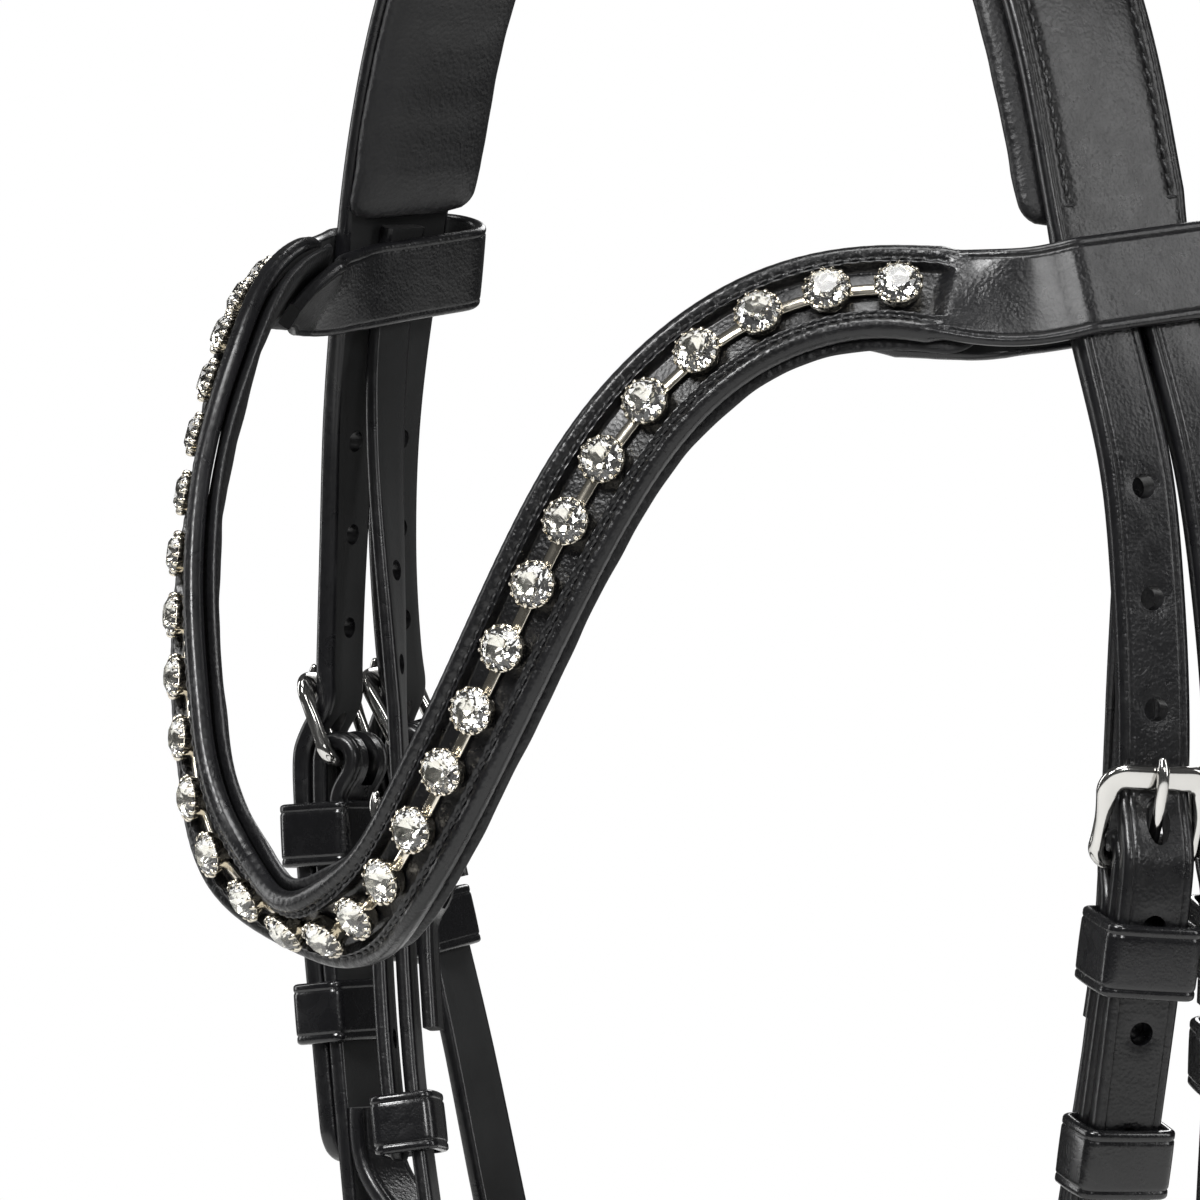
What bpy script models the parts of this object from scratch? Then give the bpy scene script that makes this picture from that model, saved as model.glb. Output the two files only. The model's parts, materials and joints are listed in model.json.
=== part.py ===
"""Snaffle bridle, hanging from its poll.

Frame: origin under the padding of the headpiece at the poll, on the mid plane.
+X is the horse's left side, -Y is forward (forehead side), +Z is up.
All dimensions below are millimetres; the meshes are made in metres.

Every strap is swept along a track.  A track carries at each point T (along
the strap), U (across its width) and N = T x U (out of its show face), so a
position on or near a strap is (s, w, n): distance along, across, and outwards.
"""
import math

import bmesh
import bpy
import numpy as np
from mathutils import Vector

MM = 0.001

# ---------------------------------------------------------------- dimensions
CROWN_W = 27.5          # leather over the poll
CROWN_T = 3.2
SPLIT_S = 0.0           # billets start here, measured down from the slit
FRONT_W = 12.4          # front billet and front strap
SLIT = 1.0
REAR_W = 12.4
BILLET_T = 4.2
CHAPE_T = 3.4           # thickness of the straps that carry the buckles
PAD_T = 7.3
BAND_W = 18.0
BAND_T = 3.0
LOOP_W = 16.5
LOOP_T = 2.4
LINING_T = 3.2
LOOP_GAP = 0.9
STONE_D = 8.2
STONE_PITCH = 12.0
STONES = 30
BAR_R = 1.5             # buckle wire
TONGUE_R = 1.05
BUCKLE_L = 14.5         # top bar to lower bar
BAR_N = -(1.5 + 0.5 + 3.4)      # lower bar's middle, behind the show face of the strap turned round it
HOLE_D = 4.2
HOLE_PITCH = 18.4
RING_R = 33.0           # bit ring, wire centre
RING_WIRE = 3.2
GAP = 0.3
JOINT_GAP = 1.3         # half of the clearance at the billets' flex line

# Front edge of the show face, from the poll down to the slit (left side).
CROWN_EDGE = [(0, -15, 11), (42, -15, 0.5), (68, -15.5, -20), (84, -16, -40),
              (95, -16, -60), (101.5, -16, -78), (106, -15.8, -95), (109.3, -15.1, -108)]
# The same edge, on down the front strap.
FRONT_EDGE = [(109.3, -15.1, -108), (113.2, -13.9, -123), (116.6, -12.7, -138), (118.4, -12.1, -155),
              (119.6, -12, -172), (120.4, -12.3, -188), (120.2, -13, -204), (118.3, -13.9, -222),
              (115.2, -14.4, -242), (111.6, -14.8, -264), (107.9, -15, -286), (104.4, -15, -308), (101.2, -15, -334)]
# Front edge of the rear strap, from the slit to the bit.
REAR_EDGE = [(111.2, -1.8, -108), (116.1, -0.6, -123), (120.0, 0.7, -138), (122.3, 1.9, -155),
             (123.4, 3.2, -172), (123.6, 4.5, -188), (122.9, 5.9, -204), (120.8, 7.9, -222),
             (117.3, 10.5, -242), (113, 13.3, -264), (108.8, 16, -288), (100.6, 20, -325),
             (90, 22.8, -360), (79.5, 24.4, -392), (73.5, 25, -412)]
# Middle of the show face of the browband, from the centre to the left loop.
BAND_MID = [(0, -94.4, -222.6), (13, -94.9, -219.3), (26.4, -96.3, -210.6), (39.8, -93.6, -191.6),
            (49.9, -88.4, -170.4), (57.6, -81.2, -149.4), (65.4, -71.0, -129.6), (76.8, -57.0, -114.6),
            (91.0, -39.6, -108.9)]
# Tilt of the browband's face (degrees, up is positive) against the distance from the centre.
BAND_TILT = [(0, -48), (12, -38), (24, -20), (38, -5), (54, 2), (72, 8), (90, 16), (120, 26), (150, 36), (172, 37),
             (181, 33), (203, 0)]
# Middle of the throatlash, left side, from under the headpiece to its lowest point.
THROAT = [(104.3, -2.6, -100), (106.7, -2.9, -110), (108.1, -3.6, -122), (108.0, -4.7, -145), (104.0, -6.0, -175),
          (100.0, -7.4, -205), (95.6, -9.2, -235), (89.5, -11.2, -264), (82.0, -12.2, -292), (68, -12, -328),
          (42, -11.5, -356), (0, -11, -366)]
# How far the other side hangs back from that line, by height.
THROAT_BACK = [(100, 0), (112, 1.5), (125, 5), (150, 9), (180, 12), (210, 15), (240, 18), (292, 21), (330, 16), (356, 7), (366, 0)]
NOSE_A, NOSE_B = 99.4, 90.0      # half axes of the noseband ring, show face
NOSE_Y, NOSE_Z = -9.5, -310.0
NOSE_TILT = math.radians(8)
FRONT_BAR_Z = -190.5             # height of the buckles' top bars

LEATHER = dict(color=(0.018, 0.018, 0.020, 1), rough=0.42, metal=0.0)
LINING = dict(color=(0.030, 0.030, 0.032, 1), rough=0.6, metal=0.0)
STEEL = dict(color=(0.62, 0.61, 0.59, 1), rough=0.16, metal=1.0)
CRYSTAL = dict(color=(0.86, 0.86, 0.82, 1), rough=0.08, metal=0.6)


# ---------------------------------------------------------------- mathematics
def unit(v):
    v = np.asarray(v, float)
    return v / np.linalg.norm(v, axis=-1, keepdims=True)


def arc_length(P):
    return np.r_[0.0, np.cumsum(np.linalg.norm(np.diff(P, axis=0), axis=1))]


def resample(Q, step):
    length = arc_length(Q)
    count = max(2, int(round(length[-1] / step)) + 1)
    at = np.linspace(0, length[-1], count)
    return np.stack([np.interp(at, length, Q[:, k]) for k in range(Q.shape[1])], 1)


def spline(points, step=1.0):
    """Natural cubic spline through the points, evenly spaced along its length."""
    P = np.array(points, float)
    d = arc_length(P)
    n, h = len(P), np.diff(d)
    A, R = np.eye(n), np.zeros_like(P)
    for i in range(1, n - 1):
        A[i, i - 1], A[i, i], A[i, i + 1] = h[i - 1], 2 * (h[i - 1] + h[i]), h[i]
        R[i] = 6 * ((P[i + 1] - P[i]) / h[i] - (P[i] - P[i - 1]) / h[i - 1])
    M = np.linalg.solve(A, R)
    x = np.linspace(0, d[-1], 30 * n)
    i = np.clip(np.searchsorted(d, x, side="right") - 1, 0, n - 2)
    a, b = ((d[i + 1] - x) / h[i])[:, None], ((x - d[i]) / h[i])[:, None]
    Q = a * P[i] + b * P[i + 1] + ((a**3 - a) * M[i] + (b**3 - b) * M[i + 1]) * (h[i] ** 2 / 6)[:, None]
    return resample(Q, step)


class Track:
    def __init__(self, P, ref):
        self.P = np.asarray(P, float)
        self.T = unit(np.gradient(self.P, axis=0))
        ref = np.asarray(ref, float)
        if ref.ndim == 1:
            ref = np.tile(ref, (len(self.P), 1))
        self.U = unit(ref - (ref * self.T).sum(1)[:, None] * self.T)
        self.N = np.cross(self.T, self.U)
        self.s = arc_length(self.P)

    def frame(self, s):
        out = [np.stack([np.interp(s, self.s, A[:, k]) for k in range(3)], -1)
               for A in (self.P, self.T, self.U, self.N)]
        return out[0], unit(out[1]), unit(out[2]), unit(out[3])

    def pos(self, s, w=0.0, n=0.0):
        p, _, u, nn = self.frame(s)
        return p + np.multiply.outer(np.asarray(w, float), u) * 1.0 + np.multiply.outer(np.asarray(n, float), nn) \
            if np.ndim(s) == 0 else p + np.asarray(w, float)[..., None] * u + np.asarray(n, float)[..., None] * nn

    def s_at_z(self, z):
        return float(np.interp(-z, -self.P[:, 2], self.s))


def route(track, sn, step=None, smooth=True):
    """A track laid along another one: sn holds (s, n) or (s, n, w) points."""
    sn = np.array([tuple(p) + (0.0,) * (3 - len(p)) for p in sn], float)
    if smooth:
        sn = spline(sn, 0.7)
    if step:
        sn = resample(sn, step)
    P = track.pos(sn[:, 0], sn[:, 2], sn[:, 1])
    U = track.frame(sn[:, 0])[2]
    return Track(P, U)


def half_turn(s0, n0, r, up=True, count=9):
    """Face line of a strap turned round a bar at (s0, n0); up turns over the top from the inner to the outer side."""
    t = np.linspace(0, math.pi, count)
    if up:
        return [(s0 - r * math.sin(a), n0 - r * math.cos(a)) for a in t]
    return [(s0 + r * math.sin(a), n0 + r * math.cos(a)) for a in t]


# ---------------------------------------------------------------- mesh makers
def material(name, spec):
    mat = bpy.data.materials.get(name)
    if mat is None:
        mat = bpy.data.materials.new(name)
        mat.use_nodes = True
        bsdf = mat.node_tree.nodes["Principled BSDF"]
        bsdf.inputs["Base Color"].default_value = spec["color"]
        bsdf.inputs["Roughness"].default_value = spec["rough"]
        bsdf.inputs["Metallic"].default_value = spec["metal"]
    return mat


def make(name, verts, faces, mat, mirror=False, smooth=True):
    verts = np.asarray(verts, float) * MM
    if mirror:
        verts = verts * np.array([-1.0, 1.0, 1.0])
        faces = [tuple(reversed(f)) for f in faces]
    mesh = bpy.data.meshes.new(name)
    mesh.from_pydata([tuple(v) for v in verts], [], [tuple(int(i) for i in f) for f in faces])
    bm = bmesh.new()
    bm.from_mesh(mesh)
    if bm.calc_volume(signed=True) < 0:
        bmesh.ops.reverse_faces(bm, faces=bm.faces[:])
    bm.to_mesh(mesh)
    bm.free()
    ob = bpy.data.objects.new(name, mesh)
    bpy.context.scene.collection.objects.link(ob)
    ob.data.materials.append(material(*mat))
    if smooth:
        mesh.shade_smooth()
        mesh.set_sharp_from_angle(angle=math.radians(40))
    return ob


def sweep(track, profiles, stations, closed=False):
    """Rings of profile points (w, n) along the track, joined; open sweeps get end caps."""
    rings = []
    for s, prof in zip(stations, profiles):
        p, _, u, nn = track.frame(s)
        prof = np.asarray(prof, float)
        rings.append(p + prof[:, :1] * u + prof[:, 1:] * nn)
    return loft(rings, closed)


def loft(rings, closed=False):
    m, k = len(rings), len(rings[0])
    verts = np.concatenate(rings)
    faces = []
    for i in range(m if closed else m - 1):
        a, b = i * k, ((i + 1) % m) * k
        for j in range(k):
            faces.append((a + j, a + (j + 1) % k, b + (j + 1) % k, b + j))
    if not closed:
        faces.append(tuple(range(k - 1, -1, -1)))
        faces.append(tuple((m - 1) * k + j for j in range(k)))
    return verts, faces


def strap_profile(w0, w1, n0, n1, bevel=0.7):
    """Strap section with its show-face edges bevelled; n1 is the face, n0 the back."""
    b = bevel
    return [(w0, n0), (w0, n1 - b), (w0 + b, n1), (w1 - b, n1), (w1, n1 - b), (w1, n0)]


def tip(prof, k, mid=None):
    """The profile narrowed to k of its width about its middle."""
    prof = np.array(prof, float)
    c = prof[:, 0].mean() if mid is None else mid
    prof[:, 0] = c + (prof[:, 0] - c) * k
    return prof


def spaced(track, step, lo, hi, turn=30.0):
    """Stations at most a step apart, and closer where the track bends."""
    inside = [s for s in track.s if lo < s < hi]
    T = track.frame(np.array([lo] + inside + [hi]))[1]
    at = [lo] + inside + [hi]
    bend = np.degrees(np.arccos(np.clip((T[1:] * T[:-1]).sum(1), -1, 1)))
    cost = np.r_[0.0, np.cumsum(bend / turn + np.diff(at) / step)]
    count = max(2, int(math.ceil(cost[-1])) + 1)
    return list(np.interp(np.linspace(0, cost[-1], count), cost, at))


def strap(name, track, w0, w1, t, step, mat, mirror=False, ends=(0, 0), bevel=0.7, s0=None, s1=None):
    """A plain strap; ends gives how long its rounded points are."""
    lo = track.s[0] if s0 is None else s0
    hi = track.s[-1] if s1 is None else s1
    st = spaced(track, step, lo, hi)
    if ends[0]:
        st = [lo, lo + ends[0] * 0.15, lo + ends[0] * 0.5, lo + ends[0]] + [s for s in st if s > lo + ends[0] + 1]
    if ends[1]:
        st = [s for s in st if s < hi - ends[1] - 1] + [hi - ends[1], hi - ends[1] * 0.5, hi - ends[1] * 0.15, hi]
    profs = []
    for s in st:
        k = 1.0
        if ends[0] and s < lo + ends[0]:
            k = math.sqrt(max(0.16, 1 - ((lo + ends[0] - s) / ends[0]) ** 2))
        if ends[1] and s > hi - ends[1]:
            k = math.sqrt(max(0.16, 1 - ((s - hi + ends[1]) / ends[1]) ** 2))
        profs.append(tip(strap_profile(w0, w1, -t, 0, bevel), k))
    v, f = sweep(track, profs, st)
    return make(name, v, f, mat, mirror)


def tube(points, radius, sides, closed=False):
    P = np.asarray(points, float)
    if closed:
        T = unit(np.roll(P, -1, axis=0) - np.roll(P, 1, axis=0))
    else:
        T = unit(np.gradient(P, axis=0))
    A = np.array([0.0, 0.0, 1.0]) if abs(T[0][2]) < 0.8 else np.array([0.0, 1.0, 0.0])
    rings, a = [], A
    for i, p in enumerate(P):
        a = unit(a - a.dot(T[i]) * T[i])
        b = np.cross(T[i], a)
        r = radius[i] if np.ndim(radius) else radius
        ang = np.arange(sides) * 2 * math.pi / sides + math.pi / sides
        rings.append(p + r * np.cos(ang)[:, None] * a + r * np.sin(ang)[:, None] * b)
    return loft(rings, closed)


def boolean(ob, cutter_data, operation="DIFFERENCE"):
    """Cuts the object with a cutter mesh, and keeps only the result."""
    cutter = make("cutter", cutter_data[0], cutter_data[1], ("leather", LEATHER), smooth=False)
    cutter.hide_render = True
    cutter.display_type = "WIRE"
    mod = ob.modifiers.new("cut", "BOOLEAN")
    mod.operation = operation
    mod.solver = "EXACT"
    mod.object = cutter
    graph = bpy.context.evaluated_depsgraph_get()
    graph.update()
    result = bpy.data.meshes.new_from_object(ob.evaluated_get(graph))
    ob.modifiers.clear()
    old = ob.data
    ob.data = result
    result.name = ob.name
    bpy.data.meshes.remove(old)
    bpy.data.objects.remove(cutter, do_unlink=True)


def pin(p, axis, along, r, half, sides=10, stretch=1.0):
    """A short cylinder, for punching; stretch lengthens it in the direction 'along'."""
    axis, along = unit(axis), unit(along)
    along = unit(along - along.dot(axis) * axis)
    side = np.cross(axis, along)
    ang = np.arange(sides) * 2 * math.pi / sides
    ring = r * stretch * np.cos(ang)[:, None] * along + r * np.sin(ang)[:, None] * side
    return loft([p - half * axis + ring, p + half * axis + ring])


def joined(parts):
    verts, faces, base = [], [], 0
    for v, f in parts:
        verts.append(np.asarray(v))
        faces += [tuple(i + base for i in q) for q in f]
        base += len(v)
    return np.concatenate(verts), faces


def mirrored_data(data):
    v, f = data
    return np.asarray(v) * np.array([-1.0, 1.0, 1.0]), [tuple(reversed(q)) for q in f]


# ---------------------------------------------------------------- tracks
def width_dir(P, angle):
    """Across-strap direction: rearwards, turned outwards by the angle at each point."""
    T = unit(np.gradient(P, axis=0))
    back = np.array([0.0, 1.0, 0.0])
    out = unit(np.cross(T, back))
    angle = np.broadcast_to(np.asarray(angle, float), (len(P),))[:, None]
    return np.cos(angle) * back + np.sin(angle) * out


def crown_track():
    left = [p for p in CROWN_EDGE]
    right = [(-x, y, z) for x, y, z in reversed(left[1:])]
    P = spline(right + left, 1.0)
    mid = np.abs(P[:, 0]) / 109.3
    return Track(P, width_dir(P, np.radians(8) * np.clip(mid, 0, 1)))


def side_track(edge):
    P = spline(edge, 1.0)
    a = np.interp(-P[:, 2], [108, 125, 150, 172, 200, 225, 250, 290, 340], [8, 11, 18, 23, 24, 20, 15, 9, 8])
    a = np.radians(np.convolve(np.pad(a, 8, mode="edge"), np.ones(17) / 17, mode="valid"))
    a[0] = math.radians(8)
    return Track(P, width_dir(P, a))


CROWN = crown_track()
FRONT = side_track(FRONT_EDGE)
REAR = side_track(REAR_EDGE)


def band_track():
    """Show-face middle line of the whole browband strip: flap, loop, band, loop, flap."""
    base = FRONT
    p0, t0, u0, n0 = base.frame(1.5)
    def loc(w, n):
        return p0 + w * u0 + n * n0
    top = LOOP_GAP + LOOP_T
    low = -(BILLET_T + 4.0) - LOOP_GAP - LOOP_T
    r = (top - low) / 2
    end_w = FRONT_W + SLIT + REAR_W + 0.9
    band = spline([(-x, y, z) for x, y, z in reversed(BAND_MID[1:])][-2:] + list(BAND_MID) + [tuple(loc(-7, top - 3.4)), tuple(loc(1.5, top))], 0.8)
    band = band[np.argmin(np.abs(band[:, 0])):]
    band[0, 0] = 0.0
    over = [loc(w, top) for w in np.linspace(3, end_w, 9)]
    ang = np.linspace(0, math.pi, 13)[1:]
    turn = [loc(end_w + r * math.sin(a), (top + low) / 2 + r * math.cos(a)) for a in ang]
    under = [loc(w, low) for w in np.linspace(end_w - 3, 3, 7)]
    outer = np.array(list(band) + over + turn + under)
    # The flap runs forward along the back of the band.
    tb = Track(band, (0, 0, 1))
    tilt = np.interp(tb.s, [d for d, _ in BAND_TILT], [a for _, a in BAND_TILT])
    tilt = np.radians(np.convolve(np.pad(tilt, 9, mode="reflect"), np.ones(19) / 19, mode="valid"))[:, None]
    tb = Track(band, np.cos(tilt) * tb.U - np.sin(tilt) * tb.N)
    total = tb.s[-1]
    off = -(BAND_T + GAP + LINING_T + 0.6 + LOOP_T)
    flap = [tb.pos(float(total - d), 0.0, off) for d in (22, 28, 34, 40, 46, 52)]
    link = spline([under[-2], under[-1], loc(-6, low - 1.6)] + flap, 0.8)
    P = np.concatenate([outer[:-2], link])
    P = spline(resample(P, 2.4), 1.0)
    s_loop0, s_loop1 = total - 8, total + 66
    s = arc_length(P)
    # Across-band direction, which the flap takes from the band it lies behind.
    near = np.array([np.argmin(((tb.P - q) ** 2).sum(1)) for q in P])
    up = np.where((s > total + 30)[:, None], tb.U[near], tb.frame(np.minimum(s, total))[2])
    k = np.clip((s - (total - 26)) / 22, 0, 1)
    k = np.where(s > total + 60, np.clip(1 - (s - total - 60) / 20, 0, 1), k)
    k = (k * k * (3 - 2 * k))[:, None]
    ref = (1 - k) * up + k * (-t0)
    M = P[1:][::-1] * np.array([-1, 1, 1])
    R = ref[1:][::-1] * np.array([-1, 1, 1])
    return Track(np.concatenate([M, P]), np.concatenate([R, ref])), s[-1], total


BAND, BAND_HALF, BAND_REACH = band_track()


def nose_track():
    tau = np.linspace(0, 2 * math.pi, 400)
    P = np.stack([-NOSE_A * np.cos(tau), NOSE_Y + NOSE_B * np.sin(tau), np.full_like(tau, NOSE_Z)], 1)
    nh = unit(np.stack([-np.cos(tau) / NOSE_A, np.sin(tau) / NOSE_B, np.zeros_like(tau)], 1))
    P = P + np.array([0, 0, -1.0]) * 0.0
    ref = -np.array([0.0, 0.0, 1.0]) * math.cos(NOSE_TILT) - nh * math.sin(NOSE_TILT)
    return Track(P, ref)


NOSE = nose_track()


def throat_track():
    left = list(THROAT)
    right = [(-x, y, z) for x, y, z in reversed(left[:-1])]
    P = spline([(x, y + (0 if x > 0 else np.interp(-z, [q for q, _ in THROAT_BACK], [b for _, b in THROAT_BACK])), z) for x, y, z in left + right], 1.0)
    back = np.array([0.0, 1.0, 0.0])
    T = unit(np.gradient(P, axis=0))
    out = unit(np.cross(T, back))
    z = P[:, 2]
    a = np.radians(np.interp(-z, [101, 130, 165, 195, 300, 345, 365], [8, 12, 30, 48, 44, 8, 0]))[:, None]
    return Track(P, np.cos(a) * back + np.sin(a) * out)


THROATLASH = throat_track()


# ---------------------------------------------------------------- headpiece
def crown_sections():
    a1, b0 = FRONT_W, FRONT_W + SLIT
    b1 = b0 + REAR_W
    L = CROWN.s[-1]
    st = np.linspace(0, L, 33)
    profs = []
    for s in st:
        k = min(1.0, min(s, L - s) / 14.0)
        rear = b1 + (CROWN_W - b1) * k
        t = BILLET_T + (CROWN_T - BILLET_T) * k
        m1, m2 = a1, b0
        profs.append([(0, -t), (0, 0), (m1, 0), (m2, 0), (rear, 0), (rear, -t), (m2, -t), (m1, -t)])
    return st, profs


def billet_stations(track, s_end, step):
    return np.linspace(0, s_end, max(3, int(round(s_end / step)) + 1))


def billet_line(s_b, s_tip):
    """Face height of a billet: level above the buckle, under its top bar, then over the turned-back strap."""
    near = [(s_b - 16, 0), (s_b - 8, -0.15), (s_b - 1, -0.45), (s_b + 2.6, -0.45), (s_b + 6.3, 1.5), (s_b + 10, 3.5),
            (s_b + 12.4, 4.4), (s_b + 15.5, 4.75), (s_b + 22, 4.7)]
    return [(0, 0)] + near + [(s_b + 34, 4.7), (s_b + 50, 4.7), (s_tip, 4.7)]


S_BAR = {"front": FRONT.s_at_z(FRONT_BAR_Z), "rear": REAR.s_at_z(FRONT_BAR_Z)}
TIP = {"front": S_BAR["front"] + 96.0, "rear": S_BAR["rear"] + 60.0}


def billet_track(which):
    base = FRONT if which == "front" else REAR
    return route(base, billet_line(S_BAR[which], TIP[which]))


def hole_list(which, upper):
    """Distances of the billet's holes from the slit, above or below the flex line at the top bar."""
    s_b = S_BAR[which]
    at = [s_b + 7.2 + HOLE_PITCH * k for k in (-3, -2, -1, 1, 2, 3, 4)]
    return [a for a in at if (a < s_b - 4) == upper and a > 12 and a < TIP[which] - 8]


def headpiece():
    st, profs = crown_sections()
    rings = []
    for s, prof in zip(st, profs):
        p, _, u, nn = CROWN.frame(s)
        prof = np.asarray(prof, float)
        rings.append(p + prof[:, :1] * u + prof[:, 1:] * nn)
    # Make the last rings sit exactly on the front tracks' frames, so that the billets follow on.
    p, _, u, nn = FRONT.frame(0.0)
    prof = np.asarray(profs[-1], float)
    left = p + prof[:, :1] * u + prof[:, 1:] * nn
    rings[-1] = left
    rings[0] = left * np.array([-1, 1, 1])
    k = 8
    verts, faces = loft(rings)
    faces = faces[:-2]
    verts = [tuple(v) for v in verts]

    def grow(ring_ids, data, flip):
        """Carries a four-cornered section on through data, a list of rings, and caps its end."""
        ids = list(ring_ids)
        for ring in data:
            new = list(range(len(verts), len(verts) + 4))
            verts.extend(tuple(v) for v in ring)
            for j in range(4):
                q = (ids[j], ids[(j + 1) % 4], new[(j + 1) % 4], new[j])
                faces.append(tuple(reversed(q)) if flip else q)
            ids = new
        faces.append(tuple(ids) if not flip else tuple(reversed(ids)))

    for side in (1, -1):
        base_i = (len(rings) - 1) * k if side == 1 else 0
        flip = side == -1
        # profile order: 0 bottom front, 1 top front, 2 top a1, 3 top b0, 4 top rear, 5 bottom rear, 6 bottom b0, 7 bottom a1
        for which, ids in (("front", (0, 1, 2, 7)), ("rear", (6, 3, 4, 5))):
            tr = billet_track(which)
            s_end = S_BAR[which] - JOINT_GAP
            w0, w1 = 0.0, (FRONT_W if which == "front" else REAR_W)
            data = []
            for s in np.linspace(0, s_end, 9)[1:]:
                pr = np.array([(w0, -BILLET_T), (w0, 0), (w1, 0), (w1, -BILLET_T)])
                p, _, u, nn = tr.frame(s)
                ring = p + pr[:, :1] * u + pr[:, 1:] * nn
                data.append(ring * np.array([side, 1, 1]))
            grow([base_i + i for i in ids], data, flip)
        slit = [base_i + i for i in (7, 2, 3, 6)]
        faces.append(tuple(slit) if not flip else tuple(reversed(slit)))
    ob = make("headpiece_strap", verts, faces, ("leather", LEATHER))
    bm = bmesh.new()
    bm.from_mesh(ob.data)
    bmesh.ops.recalc_face_normals(bm, faces=bm.faces[:])
    bm.to_mesh(ob.data)
    bm.free()
    cutters = []
    for which in ("front", "rear"):
        tr = billet_track(which)
        for s in hole_list(which, True):
            p, t, u, nn = tr.frame(s)
            c = pin(p + 6.2 * u - BILLET_T / 2 * nn, nn, t, HOLE_D / 2, 4.0, 8)
            cutters += [c, mirrored_data(c)]
    boolean(ob, joined(cutters))
    return ob


def headpiece_padding():
    L = CROWN.s[-1]
    lo, hi = 12.5, L - 12.5
    st = np.linspace(lo, hi, 27)
    profs = []
    for s in st:
        k = min(1.0, min(s - lo, hi - s) / 10.0)
        d = 4.0 + (PAD_T - 4.0) * math.sqrt(k)
        top = -CROWN_T - GAP
        profs.append([(-1.2, top), (-1.9, top - 0.35 * d), (-1.0, top - 0.8 * d), (3.0, top - d),
                      (24, top - d), (28.2, top - 0.8 * d), (29.2, top - 0.35 * d), (28.6, top)])
    v, f = sweep(CROWN, profs, st)
    return make("headpiece_padding", v, f, ("lining", LINING))


# ---------------------------------------------------------------- browband
def browband():
    full = np.array([(-9, -BAND_T), (-9, -0.7), (-8.2, 0), (-5.6, 0.1), (-4.5, -1.7), (4.5, -1.7), (5.6, 0.1),
                     (8.2, 0), (9, -0.7), (9, -BAND_T)])
    plain = np.array([(-8.25, -LOOP_T), (-8.25, -0.5), (-7.6, 0), (-4, 0), (-2, 0), (2, 0), (4, 0),
                      (7.6, 0), (8.25, -0.5), (8.25, -LOOP_T)])
    L = BAND.s[-1]
    start = BAND_REACH
    plain_from = STONE_PITCH * (STONES - 1) / 2 + 5.4
    half = list(np.linspace(0, plain_from, 27)) + [plain_from + 4.0] + list(np.linspace(plain_from + 9, start + 2, 5)) \
        + list(np.linspace(start + 10, start + 26, 3)) + list(np.linspace(start + 30, start + 46, 6)) \
        + list(np.linspace(start + 54, BAND_HALF - 18, 7)) + [BAND_HALF - 8, BAND_HALF - 2.5, BAND_HALF]
    st = [L / 2 - d for d in reversed(half[1:])] + [L / 2 + d for d in half]
    profs = []
    for s in st:
        d = abs(s - L / 2)
        k = np.clip((d - plain_from) / 4, 0, 1)
        prof = (1 - k) * full + k * plain
        left = BAND_HALF - d
        if left < 18:
            prof = tip(prof, max(0.30, min(1.0, 0.30 + 0.70 * left / 18)))
        profs.append(prof)
    v, f = sweep(BAND, profs, st)
    make("browband_strap", v, f, ("leather", LEATHER))
    # Padded lining along the back, between the loops.
    reach = half[28]
    st = [s for s in st if abs(s - L / 2) <= reach + 1e-6]
    profs = []
    for s in st:
        k = min(1.0, (reach - abs(s - L / 2)) / 12.0)
        h = 9.0 - 0.9 * (1 - k)
        a = -BAND_T - GAP - 0.15
        b = a - LINING_T * (0.55 + 0.45 * k)
        profs.append([(-h + 0.4, a), (-h - 0.2, (a + b) / 2), (-h + 0.9, b), (h - 0.9, b), (h + 0.2, (a + b) / 2), (h - 0.4, a)])
    v, f = sweep(BAND, profs, st)
    make("browband_lining", v, f, ("lining", LINING))


def stone_chain():
    """Thirty cups on one chain of link bars; each cup holds its crystal, cut to a flat table."""
    sides, L = 8, BAND.s[-1]
    levels = [(3.4, -1.15), (3.5, -0.65), (STONE_D / 2, 1.3), (2.5, 3.3)]
    verts, faces = [], []
    for i in range(STONES):
        s = L / 2 + (i - (STONES - 1) / 2) * STONE_PITCH
        p, t, u, nn = BAND.frame(s)
        ang = (np.arange(sides) + 0.5) * 2 * math.pi / sides
        for r, h in levels:
            for a in ang:
                verts.append(p + h * nn + r * math.cos(a) * t + r * math.sin(a) * u)
        base = i * sides * len(levels)
        faces.append(tuple(base + j for j in range(sides - 1, -1, -1)))
        faces.append(tuple(base + (len(levels) - 1) * sides + j for j in range(sides)))
        for q in range(len(levels) - 1):
            for j in range(sides):
                a, b = base + q * sides + j, base + q * sides + (j + 1) % sides
                quad = (a, b, b + sides, a + sides)
                # The lowest side quads that face the neighbours open into the link bars.
                if q == 0 and ((j == sides - 1 and i < STONES - 1) or (j == sides // 2 - 1 and i > 0)):
                    continue
                faces.append(quad)
    n = sides * len(levels)
    for i in range(STONES - 1):
        a, b = i * n, (i + 1) * n
        m = [a + sides - 1, a, a + sides, a + 2 * sides - 1]
        o = [b + sides // 2, b + sides // 2 - 1, b + sides + sides // 2 - 1, b + sides + sides // 2]
        for j in range(4):
            faces.append((m[j], m[(j + 1) % 4], o[(j + 1) % 4], o[j]))
    ob = make("stone_chain", verts, faces, ("crystal", CRYSTAL), smooth=False)
    bm = bmesh.new()
    bm.from_mesh(ob.data)
    bmesh.ops.recalc_face_normals(bm, faces=bm.faces[:])
    bm.to_mesh(ob.data)
    bm.free()


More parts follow.
